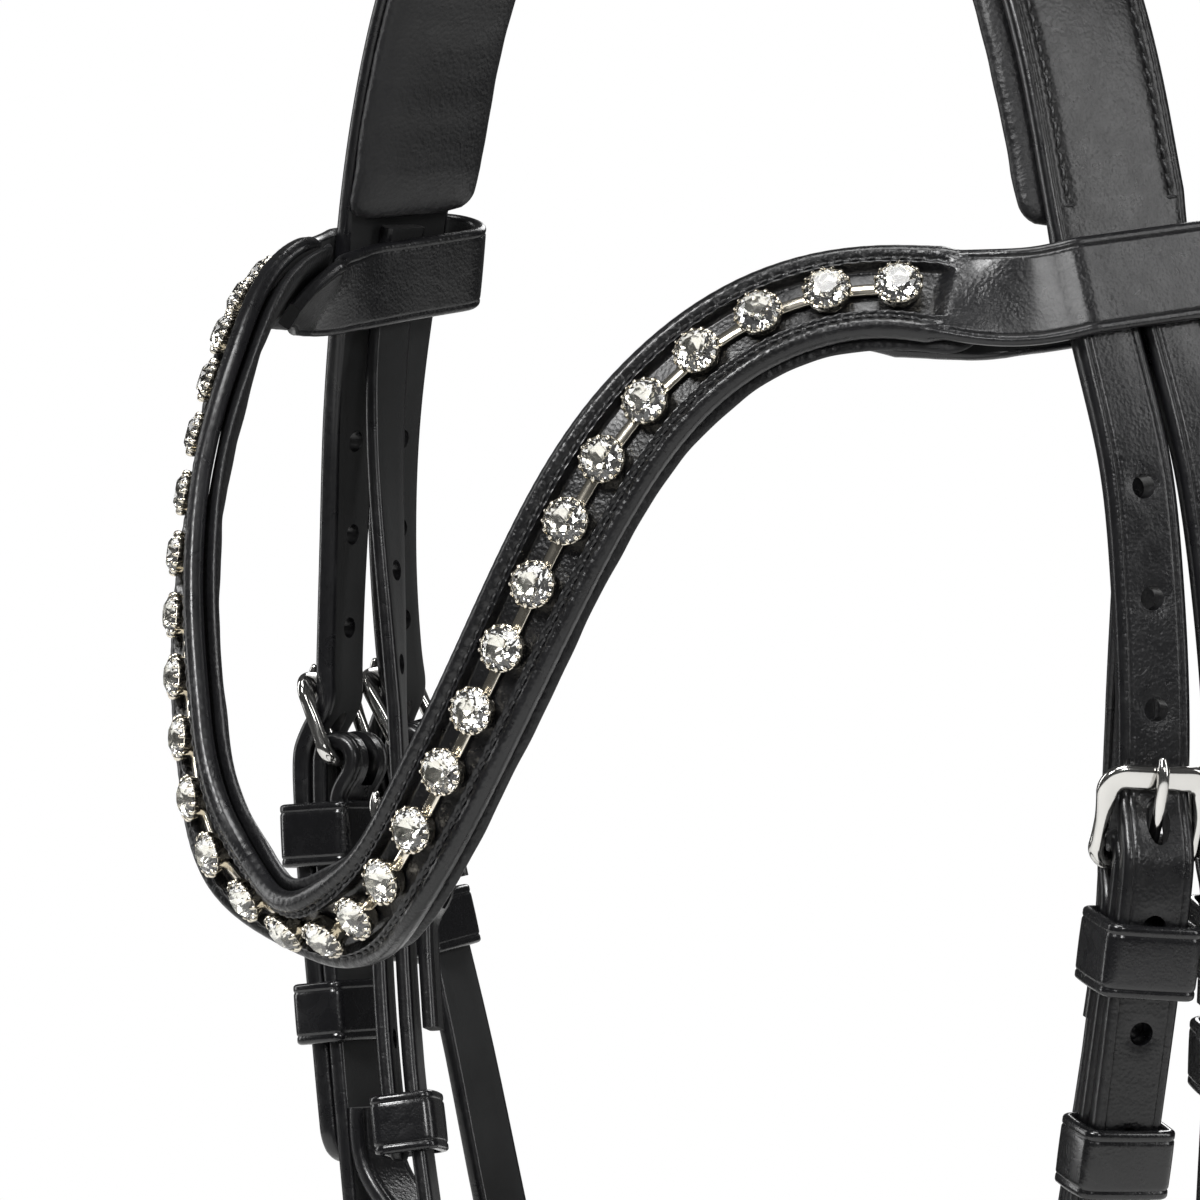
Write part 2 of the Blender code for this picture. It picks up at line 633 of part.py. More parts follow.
# ---------------------------------------------------------------- buckles
def frame_loop(track, s_b, w0, w1, n_top, n_low, length, res=3, r_corner=3.0):
    """Rounded rectangle of the buckle frame: points, in-plane outward directions, plane normal."""
    p, t, u, nn = track.frame(s_b + length / 2)
    top = track.pos(s_b, (w0 + w1) / 2, n_top)
    low = track.pos(s_b + length, (w0 + w1) / 2, n_low)
    along = unit(low - top)
    mid = (top + low) / 2
    hw, hl = (w1 - w0) / 2, np.linalg.norm(low - top) / 2
    across = unit(u - u.dot(along) * along)
    m = np.cross(along, across)
    pts, outs = [], []
    for cx, cy, a0 in ((1, -1, -90), (1, 1, 0), (-1, 1, 90), (-1, -1, 180)):
        for q in range(res + 1):
            a = math.radians(a0 + 90 * q / res)
            o = math.cos(a) * across + math.sin(a) * along
            c = mid + cx * (hw - r_corner) * across + cy * (hl - r_corner) * along
            pts.append(c + r_corner * o)
            outs.append(o)
    return np.array(pts), np.array(outs), m, mid, along, across


def buckle(name, track, s_b, w, scale=1.0, mirror=False, res=3, sides=6, n_top=1.1, n_low=BAR_N):
    """Frame with a broad flattened top bar and a round lower bar."""
    length = BUCKLE_L * scale
    pts, outs, m, mid, along, across = frame_loop(track, s_b, -2.1, w + 2.1, n_top, n_low, length, res)
    rings = []
    for p, o in zip(pts, outs):
        h = float((p - mid).dot(along)) / (length / 2)
        flat = np.clip(-h, 0, 1)
        a = (1.35 + 0.95 * flat)
        b = 1.35 - 0.25 * flat
        if h > 0.5:
            a = b = BAR_R
        ang = np.arange(sides) * 2 * math.pi / sides
        rings.append(p + (a * np.cos(ang))[:, None] * o + (b * np.sin(ang))[:, None] * m)
    v, f = loft(rings, True)
    return make(name, v, f, ("steel", STEEL), mirror)


def tongue(name, track, s_b, w, scale=1.0, mirror=False, sides=6, n_top=1.1, n_low=BAR_N):
    """Eye round the lower bar, then a straight arm to a tip that rests on the top bar."""
    s0, r = s_b + BUCKLE_L * scale, BAR_R + 0.4 + TONGUE_R
    line = []
    for a in np.radians(np.linspace(452, 200, 10)):
        line.append((s0 - r * math.sin(a), n_low - r * math.cos(a)))
    tipn = n_top + 1.1 + 0.35 + TONGUE_R
    line += [(s_b + 11.2 * scale, -1.1), (s_b + 7.0 * scale, 0.95), (s_b + 3.4 * scale, 2.6), (s_b + 0.4, tipn), (s_b - 1.6, tipn + 0.1), (s_b - 3.0, tipn - 0.2)]
    # The tip of the eye starts inside: order runs from the open end of the eye to the arm.
    pts = [track.pos(float(s), w / 2, float(n)) for s, n in line]
    radius = [TONGUE_R] * (len(pts) - 1) + [0.6]
    v, f = tube(pts, radius, sides)
    return make(name, v, f, ("steel", STEEL), mirror)


def keeper(name, track, s, height, w0, w1, n0, n1, t=1.7, mirror=False, res=2, gap=0.5, r=1.6):
    """Leather band round a stack of straps: w0..w1 across, n0..n1 through."""
    p, tt, u, nn = track.frame(s)
    lo_w, hi_w, lo_n, hi_n = w0 - gap - t, w1 + gap + t, n0 - gap - t, n1 + gap + t
    r = r + t * 0.5
    pts = []
    for cx, cy, a0 in ((hi_w - r, lo_n + r, -90), (hi_w - r, hi_n - r, 0), (lo_w + r, hi_n - r, 90), (lo_w + r, lo_n + r, 180)):
        for q in range(res + 1):
            a = math.radians(a0 + 90 * q / res)
            pts.append((cx, cy, math.cos(a), math.sin(a)))
    rings = []
    for cx, cy, ca, sa in pts:
        o = ca * u + sa * nn
        q = p + (cx + r * ca) * u + (cy + r * sa) * nn
        rings.append([q - height / 2 * tt, q + height / 2 * tt, q + height / 2 * tt - t * o, q - height / 2 * tt - t * o])
    v, f = loft([np.array(x) for x in rings], True)
    return make(name, v, f, ("leather", LEATHER), mirror)


def chape_start(s_b, scale=1.0, inner_end=42.0):
    """Face line of a turned-back strap round the lower bar, ending level on the outer side."""
    s0 = s_b + BUCKLE_L * scale
    n0 = BAR_N
    level = -2 * CHAPE_T - 0.4
    back = spline([(s_b + inner_end, level), (s_b + inner_end - 9, level), (s0 + 9.5, level), (s0 + 7.5, level - 0.25), (s0 + 4.5, 2 * n0 + 1.35),
                   (s0 + 1.5, 2 * n0 + 0.1)], 1.5)
    return [tuple(q) for q in back] + half_turn(s0, n0, -n0, True)[0:]


def chape_slot(track, s_b, w, scale=1.0):
    """Cutter for the tongue's slot through the turned-back end."""
    s0 = s_b + BUCKLE_L * scale
    p, t, u, nn = track.frame(s0 - 2.0)
    c = p + w / 2 * u - 5.0 * nn
    hw, hs, hn = 1.9, 7.2, 6.6
    corner = [c + a * hw * u + b * hs * t + d * hn * nn for a, b, d in
              ((-1, -1, -1), (1, -1, -1), (1, 1, -1), (-1, 1, -1), (-1, -1, 1), (1, -1, 1), (1, 1, 1), (-1, 1, 1))]
    return np.array(corner), [(3, 2, 1, 0), (4, 5, 6, 7), (0, 1, 5, 4), (1, 2, 6, 5), (2, 3, 7, 6), (3, 0, 4, 7)]


def maybe_mirror(data, mirror):
    return mirrored_data(data) if mirror else data


def billet_tail(name, which, mirror):
    tr = billet_track(which)
    w = FRONT_W if which == "front" else REAR_W
    s0, s1 = S_BAR[which] + JOINT_GAP, TIP[which]
    ob = strap(name, tr, 0, w, BILLET_T, 8.5, ("leather", LEATHER), mirror, ends=(0, 6), s0=s0, s1=min(s1, tr.s[-1]))
    cut = []
    s_arc = tr.s
    for s in hole_list(which, False):
        p, t, u, nn = tr.frame(s)
        cut.append(pin(p + 6.2 * u - BILLET_T / 2 * nn, nn, t, HOLE_D / 2, 4.0, 8))
    p, t, u, nn = tr.frame(S_BAR[which] + 7.6)
    cut.append(pin(p + 6.2 * u - BILLET_T / 2 * nn, nn, t, 2.1, 5.0, 10, 1.85))
    boolean(ob, maybe_mirror(joined(cut), mirror))
    return ob


def loop_end(s_n, half, depth):
    """Face line of a strap end that goes down, under a band of the given half height and depth, and back up inside."""
    r = depth / 2 + CHAPE_T
    s_c = s_n + half - 1.6
    pts = half_turn(s_c, -r, r, False)
    back = spline([(s_c, -2 * r), (s_n - half - 1.0, -2 * r), (s_n - half - 15, -2 * CHAPE_T - 0.9), (s_n - half - 26, -2 * CHAPE_T - 0.5)], 2.0)
    return pts[:-1] + [tuple(q) for q in back]


def bit_point():
    """Where the ring's wire passes through the cheekpiece's lower loop: s, n, and the frame there."""
    s_c = REAR.s_at_z(-394.0)
    n_c = -(CHAPE_T + 1.3 + RING_WIRE)
    return s_c, n_c


def cheekpiece(side):
    mirror = side == "right"
    s_b = S_BAR["rear"]
    s_c, n_c = bit_point()
    r = -n_c
    bottom = half_turn(s_c, n_c, r, False)
    up = spline([(s_c, 2 * n_c), (s_c - 7, 2 * n_c + 1.2), (s_c - 16, -2 * CHAPE_T - 0.6), (s_c - 30, -2 * CHAPE_T - 0.4), (s_c - 46, -2 * CHAPE_T - 0.4)], 2.0)
    line = chape_start(s_b) + [(s, 0.0) for s in np.arange(s_b + BUCKLE_L + 6, s_c - 3, 8.0)] + bottom[:-1] + [tuple(q) for q in up]
    sn = np.array([p[:2] for p in line], float)
    P = REAR.pos(sn[:, 0], np.zeros(len(sn)), sn[:, 1])
    U = REAR.frame(sn[:, 0])[2]
    tr = smooth_track(P, U)
    ob = strap("cheekpiece_" + side, tr, 0, REAR_W, CHAPE_T, 5.2, ("leather", LEATHER), mirror)
    boolean(ob, maybe_mirror(chape_slot(REAR, s_b, REAR_W), mirror))
    return ob


def smooth_track(P, U, step=1.0):
    length = arc_length(P)
    Q = resample(P, step)
    at = np.linspace(0, length[-1], len(Q))
    V = np.stack([np.interp(at, length, U[:, k]) for k in range(3)], 1)
    return Track(Q, V)


def noseband_hanger(side):
    mirror = side == "right"
    s_b = S_BAR["front"]
    s_n = FRONT.s_at_z(NOSE_Z)
    line = chape_start(s_b) + [(s, 0.0) for s in np.arange(s_b + BUCKLE_L + 6, s_n + 4, 7.0)] + loop_end(s_n, 11.0, 11.4)
    sn = np.array([p[:2] for p in line], float)
    P = FRONT.pos(sn[:, 0], np.zeros(len(sn)), sn[:, 1])
    U = FRONT.frame(sn[:, 0])[2]
    tr = smooth_track(P, U)
    ob = strap("noseband_hanger_" + side, tr, 0, FRONT_W, CHAPE_T, 4.4, ("leather", LEATHER), mirror)
    boolean(ob, maybe_mirror(chape_slot(FRONT, s_b, FRONT_W), mirror))
    return ob


def side_hardware(side):
    mirror = side == "right"
    for which, base, label, w in (("front", FRONT, "noseband", FRONT_W), ("rear", REAR, "cheek", REAR_W)):
        s_b = S_BAR[which]
        buckle(f"{label}_buckle_{side}", base, s_b, w, mirror=mirror)
        tongue(f"{label}_buckle_tongue_{side}", base, s_b, w, mirror=mirror)
        billet_tail(f"{label}_billet_end_{side}", which, mirror)
        keeper(f"{label}_keeper_{side}", base, s_b + 29.5, 12.5, 0, w, -2 * CHAPE_T - 0.4, 4.8, mirror=mirror)
        down = 64.5 if which == "front" else 50.0
        keeper(f"{label}_runner_{side}", base, s_b + down, 12.0, 0, w, -CHAPE_T, 4.8, mirror=mirror)
    noseband_hanger(side)
    cheekpiece(side)
    # Hook stud on the cheekpiece, above the bit ring.
    s_c, _ = bit_point()
    p, t, u, nn = REAR.frame(s_c - 36)
    c = p + w / 2 * u
    rings = []
    for r, h in ((3.0, 0.3), (3.0, 0.9), (1.7, 2.2)):
        ang = np.arange(10) * 2 * math.pi / 10
        rings.append(c + h * nn + (r * np.cos(ang))[:, None] * t + (r * np.sin(ang))[:, None] * u)
    v, f = loft(rings)
    make(f"hook_stud_{side}", v, f, ("steel", STEEL), mirror)
    keeper(f"bit_keeper_{side}", REAR, s_c - 22, 9.0, 0, w, -2 * CHAPE_T - 0.6, 0.0, t=1.5, mirror=mirror)


# ---------------------------------------------------------------- bit
def bit_frame():
    s_c, n_c = bit_point()
    p, t, u, nn = REAR.frame(s_c)
    top = p + REAR_W / 2 * u + n_c * nn
    return top, t, u, nn


def circle(c, a, b, r, count):
    ang = np.arange(count) * 2 * math.pi / count
    return c + (r * np.cos(ang))[:, None] * a + (r * np.sin(ang))[:, None] * b


def bit(side):
    mirror = side == "right"
    top, t, u, nn = bit_frame()
    centre = top + RING_R * t
    v, f = tube(circle(centre, t, u, RING_R, 28), RING_WIRE, 6, True)
    make(f"bit_ring_{side}", v, f, ("steel", STEEL), mirror)
    end = top + 2 * RING_R * t
    # Tapered half of the mouthpiece, lying along X at the height of the ring's lowest point.
    x0 = end[0]
    line = [(x0 + 6.0, 5.2), (x0 + 4.6, 7.0), (x0 - 5, 7.4), (x0 - 16, 7.2), (x0 - 34, 5.4), (12.5, 3.8), (8.2, 3.2)]
    pts = [np.array([x, end[1], end[2]]) for x, _ in line]
    v, f = tube(pts, [r for _, r in line], 10)
    ob = make(f"bit_mouthpiece_{side}", v, f, ("steel", STEEL), mirror)
    eye_c = np.array([3.1, end[1], end[2]])
    if side == "left":
        ring = circle(eye_c, np.array([1.0, 0, 0]), np.array([0, 0, 1.0]), 5.8, 14)
    else:
        ring = circle(eye_c, np.array([1.0, 0, 0]), np.array([0, 1.0, 0]), 5.8, 14)
    boolean(ob, maybe_mirror(tube(ring, 2.1, 8, True), mirror), "UNION")
    boolean(ob, maybe_mirror(tube(circle(centre, t, u, RING_R, 48), RING_WIRE + 0.6, 10, True), mirror))


# ---------------------------------------------------------------- noseband
def nose_s(tau):
    """Distance along the noseband ring at an angle, 0 on the right, a quarter turn at the rear, a half on the left."""
    return float(np.interp(tau, np.linspace(0, 2 * math.pi, len(NOSE.s)), NOSE.s))


def noseband():
    # The ring track starts at the right side, so the front part is taken on a doubled track.
    ring = Track(np.concatenate([NOSE.P[:-1], NOSE.P]), np.concatenate([NOSE.U[:-1], NOSE.U]))
    full = NOSE.s[-1]
    s0, s1 = nose_s(math.pi - 0.40), full + nose_s(0.40)
    mid, half = (s0 + s1) / 2, (s1 - s0) / 2
    st = np.linspace(s0, s1, 31)
    outer, pad = [], []
    for s in st:
        k = abs(s - mid) / half
        nose = max(0.0, 1 - (k / 0.70) ** 2)
        h = 10.4 + 4.0 * nose
        end = min(1.0, (1 - k) / 0.06)
        hh = h * (0.62 + 0.38 * end)
        outer.append(strap_profile(-hh, hh, -3.4, 0, 0.8))
        d = (3.0 + 2.0 * nose) * (0.5 + 0.5 * end)
        top = -3.4 - GAP - 0.1
        pad.append([(-hh + 0.2, top), (-hh - 0.3, top - 0.45 * d), (-hh + 1.8, top - d), (hh - 1.8, top - d),
                    (hh + 0.3, top - 0.45 * d), (hh - 0.2, top)])
    v, f = sweep(ring, outer, st)
    make("noseband_front", v, f, ("leather", LEATHER))
    v, f = sweep(ring, pad, st)
    make("noseband_padding", v, f, ("lining", LINING))
    # Rear straps: one with the buckle, sewn to the left end; a billet sewn to the right end.
    w = 12.4
    w0, w1 = -w / 2, w / 2
    s_b = nose_s(math.pi * 0.585)
    lap = s0 + 24
    line = chape_start(s_b, inner_end=38.0) + [(s_b + 34, 0.0), (s0 - 16, 0.0), (s0 - 10, 1.3), (s0 - 4, 3.9), (s0 + 4, 4.1), (lap, 4.1)]
    tr = laid(ring, line)
    ob = strap("noseband_rear_strap", tr, w0, w1, CHAPE_T, 4.2, ("leather", LEATHER))
    edge = Track(ring.P + w0 * ring.U, ring.U)
    edge.s = ring.s
    boolean(ob, chape_slot(edge, s_b, w))
    r0 = nose_s(0.40)
    tip_s = s_b + 58
    pts = [(r0 - 24, 4.0), (r0 - 4, 4.0), (r0 + 4, 3.7), (r0 + 10, 1.2), (r0 + 16, 0.0), (r0 + 40, 0.0)] + billet_line(s_b, tip_s)[1:-3] + [(s_b + 34, 4.7), (tip_s, 4.7)]
    tr = laid(ring, [tuple(q) for q in spline(pts, 1.5)])
    t = BILLET_T - 0.9
    ob = strap("noseband_rear_billet", tr, w0, w1, t, 7.5, ("leather", LEATHER), ends=(0, 6))
    punch_end(ob, tr, 0.0, t, tip_s - s_b, (-3, -2, -1, 1, 2), False)
    buckle("noseband_rear_buckle", edge, s_b, w)
    tongue("noseband_rear_buckle_tongue", edge, s_b, w)
    keeper("noseband_rear_keeper", edge, s_b + 29.5, 11.0, 0, w, -2 * CHAPE_T - 0.4, 4.8)


def laid(track, line):
    """A track laid on another one along a face line of (s, n) points."""
    sn = np.array([tuple(q)[:2] for q in line], float)
    P = track.pos(sn[:, 0], np.zeros(len(sn)), sn[:, 1])
    return smooth_track(P, track.frame(sn[:, 0])[2])


def punch_end(ob, tr, mid_w, t, beyond, holes, mirror):
    """Punches a buckled strap: round holes along it, and a long one where the tongue goes through now."""
    at = tr.s[-1] - beyond
    cut = []
    for k in holes:
        p, tt, u, nn = tr.frame(at + 7.2 + HOLE_PITCH * k)
        cut.append(pin(p + mid_w * u - t / 2 * nn, nn, tt, HOLE_D / 2, 4.0, 8))
    p, tt, u, nn = tr.frame(at + 6.0)
    cut.append(pin(p + mid_w * u - t / 2 * nn, nn, tt, 2.1, 5.0, 10, 2.0))
    boolean(ob, maybe_mirror(joined(cut), mirror))


# ---------------------------------------------------------------- throatlash
def throatlash():
    """Built on the left and mirrored: the buckle and keeper hang on the right."""
    w, t = 10.0, 2.8
    tr0 = THROATLASH
    n_half = len(tr0.P) // 2
    s_b = float(np.interp(213.0, -tr0.P[:n_half, 2], tr0.s[:n_half]))
    base = Track(tr0.P - w / 2 * tr0.U, tr0.U)
    tip_s = s_b + 68
    pts = [(0, 0), (s_b - 60, 0)] + billet_line(s_b, tip_s)[1:-3] + [(s_b + 34, 4.7), (s_b + 50, 4.7), (tip_s, 4.7)]
    tr = laid(base, [tuple(q) for q in spline(pts, 1.5)])
    ob = strap("throatlash_billet", tr, 0, w, t, 8.0, ("leather", LEATHER), True, ends=(0, 5))
    punch_end(ob, tr, w / 2, t, tip_s - s_b, (-3, -2, -1, 1, 2), True)
    line = chape_start(s_b, inner_end=43.0) + [(s, 0.0) for s in np.arange(s_b + BUCKLE_L + 8, tr0.s[-1] - 4, 9.0)] + [(tr0.s[-1], 0.0)]
    tr = laid(base, line)
    ob = strap("throatlash_strap", tr, 0, w, CHAPE_T - 0.6, 8.0, ("leather", LEATHER), True)
    boolean(ob, maybe_mirror(chape_slot(base, s_b, w), True))
    buckle("throatlash_buckle", base, s_b, w, mirror=True)
    tongue("throatlash_buckle_tongue", base, s_b, w, mirror=True)
    keeper("throatlash_keeper", base, s_b + 61, 11.5, 0, w, -CHAPE_T, 4.8, mirror=True)


def main():
    for ob in list(bpy.data.objects):
        bpy.data.objects.remove(ob, do_unlink=True)
    headpiece()
    headpiece_padding()
    browband()
    stone_chain()
    for side in ("left", "right"):
        side_hardware(side)
        bit(side)
    noseband()
    throatlash()


main()
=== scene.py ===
"""Looks of the snaffle bridle: leather, stitching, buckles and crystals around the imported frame.

Everything is laid on the same tracks as the model.  A track gives at each point T (along the strap),
U (across it) and N = T x U (out of its show face).  Track dimensions are millimetres; meshes are metres.
"""
import json
import math
import random

import bmesh
import bpy
import numpy as np
from mathutils import Matrix, Vector

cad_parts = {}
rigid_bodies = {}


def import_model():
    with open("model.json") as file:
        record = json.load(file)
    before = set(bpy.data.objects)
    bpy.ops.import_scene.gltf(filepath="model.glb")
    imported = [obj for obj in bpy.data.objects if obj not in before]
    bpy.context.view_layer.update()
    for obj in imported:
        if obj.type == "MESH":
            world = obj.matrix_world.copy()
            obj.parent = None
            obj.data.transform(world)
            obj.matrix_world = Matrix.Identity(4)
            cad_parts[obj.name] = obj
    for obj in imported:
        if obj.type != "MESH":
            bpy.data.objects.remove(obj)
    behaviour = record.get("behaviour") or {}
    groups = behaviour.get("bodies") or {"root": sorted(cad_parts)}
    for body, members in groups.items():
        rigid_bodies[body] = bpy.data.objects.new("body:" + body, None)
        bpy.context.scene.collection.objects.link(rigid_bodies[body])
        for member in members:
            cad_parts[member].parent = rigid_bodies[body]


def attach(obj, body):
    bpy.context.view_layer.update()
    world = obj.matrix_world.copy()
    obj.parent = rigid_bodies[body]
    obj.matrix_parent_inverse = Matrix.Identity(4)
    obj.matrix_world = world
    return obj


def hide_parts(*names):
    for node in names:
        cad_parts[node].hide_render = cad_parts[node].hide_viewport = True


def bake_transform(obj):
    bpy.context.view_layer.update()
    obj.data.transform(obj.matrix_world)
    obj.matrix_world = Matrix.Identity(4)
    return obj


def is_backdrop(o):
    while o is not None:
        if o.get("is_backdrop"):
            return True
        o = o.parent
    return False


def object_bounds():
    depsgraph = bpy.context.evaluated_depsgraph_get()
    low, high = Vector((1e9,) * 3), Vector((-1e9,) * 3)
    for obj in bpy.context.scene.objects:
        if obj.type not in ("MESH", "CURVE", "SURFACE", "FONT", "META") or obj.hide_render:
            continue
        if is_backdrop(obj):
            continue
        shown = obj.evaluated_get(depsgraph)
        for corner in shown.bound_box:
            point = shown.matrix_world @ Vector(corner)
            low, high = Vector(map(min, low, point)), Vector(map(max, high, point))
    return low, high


for _o in list(bpy.data.objects):
    bpy.data.objects.remove(_o, do_unlink=True)
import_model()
CAD_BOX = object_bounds()
MM = 0.001
random.seed(7)

# ---------------------------------------------------------------- dimensions
CROWN_W = 27.5          # leather over the poll
CROWN_T = 3.2
SPLIT_S = 0.0           # billets start here, measured down from the slit
FRONT_W = 12.4          # front billet and front strap
SLIT = 1.0
REAR_W = 12.4
BILLET_T = 4.2
CHAPE_T = 3.4           # thickness of the straps that carry the buckles
PAD_T = 7.3
BAND_W = 18.0
BAND_T = 3.0
LOOP_W = 16.5
LOOP_T = 2.4
LINING_T = 3.2
LOOP_GAP = 0.9
STONE_D = 8.2
STONE_PITCH = 12.0
STONES = 30
BAR_R = 1.5             # buckle wire
TONGUE_R = 1.05
BUCKLE_L = 14.5         # top bar to lower bar
BAR_N = -(1.5 + 0.5 + 3.4)      # lower bar's middle, behind the show face of the strap turned round it
HOLE_D = 4.2
HOLE_PITCH = 18.4
RING_R = 33.0           # bit ring, wire centre
RING_WIRE = 3.2
GAP = 0.3
JOINT_GAP = 1.3         # half of the clearance at the billets' flex line

# Front edge of the show face, from the poll down to the slit (left side).
CROWN_EDGE = [(0, -15, 11), (42, -15, 0.5), (68, -15.5, -20), (84, -16, -40),
              (95, -16, -60), (101.5, -16, -78), (106, -15.8, -95), (109.3, -15.1, -108)]
# The same edge, on down the front strap.
FRONT_EDGE = [(109.3, -15.1, -108), (113.2, -13.9, -123), (116.6, -12.7, -138), (118.4, -12.1, -155),
              (119.6, -12, -172), (120.4, -12.3, -188), (120.2, -13, -204), (118.3, -13.9, -222),
              (115.2, -14.4, -242), (111.6, -14.8, -264), (107.9, -15, -286), (104.4, -15, -308), (101.2, -15, -334)]
# Front edge of the rear strap, from the slit to the bit.
REAR_EDGE = [(111.2, -1.8, -108), (116.1, -0.6, -123), (120.0, 0.7, -138), (122.3, 1.9, -155),
             (123.4, 3.2, -172), (123.6, 4.5, -188), (122.9, 5.9, -204), (120.8, 7.9, -222),
             (117.3, 10.5, -242), (113, 13.3, -264), (108.8, 16, -288), (100.6, 20, -325),
             (90, 22.8, -360), (79.5, 24.4, -392), (73.5, 25, -412)]
# Middle of the show face of the browband, from the centre to the left loop.
BAND_MID = [(0, -94.4, -222.6), (13, -94.9, -219.3), (26.4, -96.3, -210.6), (39.8, -93.6, -191.6),
            (49.9, -88.4, -170.4), (57.6, -81.2, -149.4), (65.4, -71.0, -129.6), (76.8, -57.0, -114.6),
            (91.0, -39.6, -108.9)]
# Tilt of the browband's face (degrees, up is positive) against the distance from the centre.
BAND_TILT = [(0, -48), (12, -38), (24, -20), (38, -5), (54, 2), (72, 8), (90, 16), (120, 26), (150, 36), (172, 37),
             (181, 33), (203, 0)]
# Middle of the throatlash, left side, from under the headpiece to its lowest point.
THROAT = [(104.3, -2.6, -100), (106.7, -2.9, -110), (108.1, -3.6, -122), (108.0, -4.7, -145), (104.0, -6.0, -175),
          (100.0, -7.4, -205), (95.6, -9.2, -235), (89.5, -11.2, -264), (82.0, -12.2, -292), (68, -12, -328),
          (42, -11.5, -356), (0, -11, -366)]
# How far the other side hangs back from that line, by height.
THROAT_BACK = [(100, 0), (112, 1.5), (125, 5), (150, 9), (180, 12), (210, 15), (240, 18), (292, 21), (330, 16), (356, 7), (366, 0)]
NOSE_A, NOSE_B = 99.4, 90.0      # half axes of the noseband ring, show face
NOSE_Y, NOSE_Z = -9.5, -310.0
NOSE_TILT = math.radians(8)
FRONT_BAR_Z = -190.5             # height of the buckles' top bars

# ---------------------------------------------------------------- mathematics
def unit(v):
    v = np.asarray(v, float)
    return v / np.linalg.norm(v, axis=-1, keepdims=True)


def arc_length(P):
    return np.r_[0.0, np.cumsum(np.linalg.norm(np.diff(P, axis=0), axis=1))]


def resample(Q, step):
    length = arc_length(Q)
    count = max(2, int(round(length[-1] / step)) + 1)
    at = np.linspace(0, length[-1], count)
    return np.stack([np.interp(at, length, Q[:, k]) for k in range(Q.shape[1])], 1)


def spline(points, step=1.0):
    """Natural cubic spline through the points, evenly spaced along its length."""
    P = np.array(points, float)
    d = arc_length(P)
    n, h = len(P), np.diff(d)
    A, R = np.eye(n), np.zeros_like(P)
    for i in range(1, n - 1):
        A[i, i - 1], A[i, i], A[i, i + 1] = h[i - 1], 2 * (h[i - 1] + h[i]), h[i]
        R[i] = 6 * ((P[i + 1] - P[i]) / h[i] - (P[i] - P[i - 1]) / h[i - 1])
    M = np.linalg.solve(A, R)
    x = np.linspace(0, d[-1], 30 * n)
    i = np.clip(np.searchsorted(d, x, side="right") - 1, 0, n - 2)
    a, b = ((d[i + 1] - x) / h[i])[:, None], ((x - d[i]) / h[i])[:, None]
    Q = a * P[i] + b * P[i + 1] + ((a**3 - a) * M[i] + (b**3 - b) * M[i + 1]) * (h[i] ** 2 / 6)[:, None]
    return resample(Q, step)


class Track:
    def __init__(self, P, ref):
        self.P = np.asarray(P, float)
        self.T = unit(np.gradient(self.P, axis=0))
        ref = np.asarray(ref, float)
        if ref.ndim == 1:
            ref = np.tile(ref, (len(self.P), 1))
        self.U = unit(ref - (ref * self.T).sum(1)[:, None] * self.T)
        self.N = np.cross(self.T, self.U)
        self.s = arc_length(self.P)

    def frame(self, s):
        out = [np.stack([np.interp(s, self.s, A[:, k]) for k in range(3)], -1)
               for A in (self.P, self.T, self.U, self.N)]
        return out[0], unit(out[1]), unit(out[2]), unit(out[3])

    def pos(self, s, w=0.0, n=0.0):
        p, _, u, nn = self.frame(s)
        return p + np.multiply.outer(np.asarray(w, float), u) * 1.0 + np.multiply.outer(np.asarray(n, float), nn) \
            if np.ndim(s) == 0 else p + np.asarray(w, float)[..., None] * u + np.asarray(n, float)[..., None] * nn

    def s_at_z(self, z):
        return float(np.interp(-z, -self.P[:, 2], self.s))


def route(track, sn, step=None, smooth=True):
    """A track laid along another one: sn holds (s, n) or (s, n, w) points."""
    sn = np.array([tuple(p) + (0.0,) * (3 - len(p)) for p in sn], float)
    if smooth:
        sn = spline(sn, 0.7)
    if step:
        sn = resample(sn, step)
    P = track.pos(sn[:, 0], sn[:, 2], sn[:, 1])
    U = track.frame(sn[:, 0])[2]
    return Track(P, U)


def half_turn(s0, n0, r, up=True, count=9):
    """Face line of a strap turned round a bar at (s0, n0); up turns over the top from the inner to the outer side."""
    t = np.linspace(0, math.pi, count)
    if up:
        return [(s0 - r * math.sin(a), n0 - r * math.cos(a)) for a in t]
    return [(s0 + r * math.sin(a), n0 + r * math.cos(a)) for a in t]


def loft(rings, closed=False):
    m, k = len(rings), len(rings[0])
    verts = np.concatenate(rings)
    faces = []
    for i in range(m if closed else m - 1):
        a, b = i * k, ((i + 1) % m) * k
        for j in range(k):
            faces.append((a + j, a + (j + 1) % k, b + (j + 1) % k, b + j))
    if not closed:
        faces.append(tuple(range(k - 1, -1, -1)))
        faces.append(tuple((m - 1) * k + j for j in range(k)))
    return verts, faces


def spaced(track, step, lo, hi, turn=30.0):
    """Stations at most a step apart, and closer where the track bends."""
    inside = [s for s in track.s if lo < s < hi]
    T = track.frame(np.array([lo] + inside + [hi]))[1]
    at = [lo] + inside + [hi]
    bend = np.degrees(np.arccos(np.clip((T[1:] * T[:-1]).sum(1), -1, 1)))
    cost = np.r_[0.0, np.cumsum(bend / turn + np.diff(at) / step)]
    count = max(2, int(math.ceil(cost[-1])) + 1)
    return list(np.interp(np.linspace(0, cost[-1], count), cost, at))


def pin(p, axis, along, r, half, sides=10, stretch=1.0):
    """A short cylinder, for punching; stretch lengthens it in the direction 'along'."""
    axis, along = unit(axis), unit(along)
    along = unit(along - along.dot(axis) * axis)
    side = np.cross(axis, along)
    ang = np.arange(sides) * 2 * math.pi / sides
    ring = r * stretch * np.cos(ang)[:, None] * along + r * np.sin(ang)[:, None] * side
    return loft([p - half * axis + ring, p + half * axis + ring])


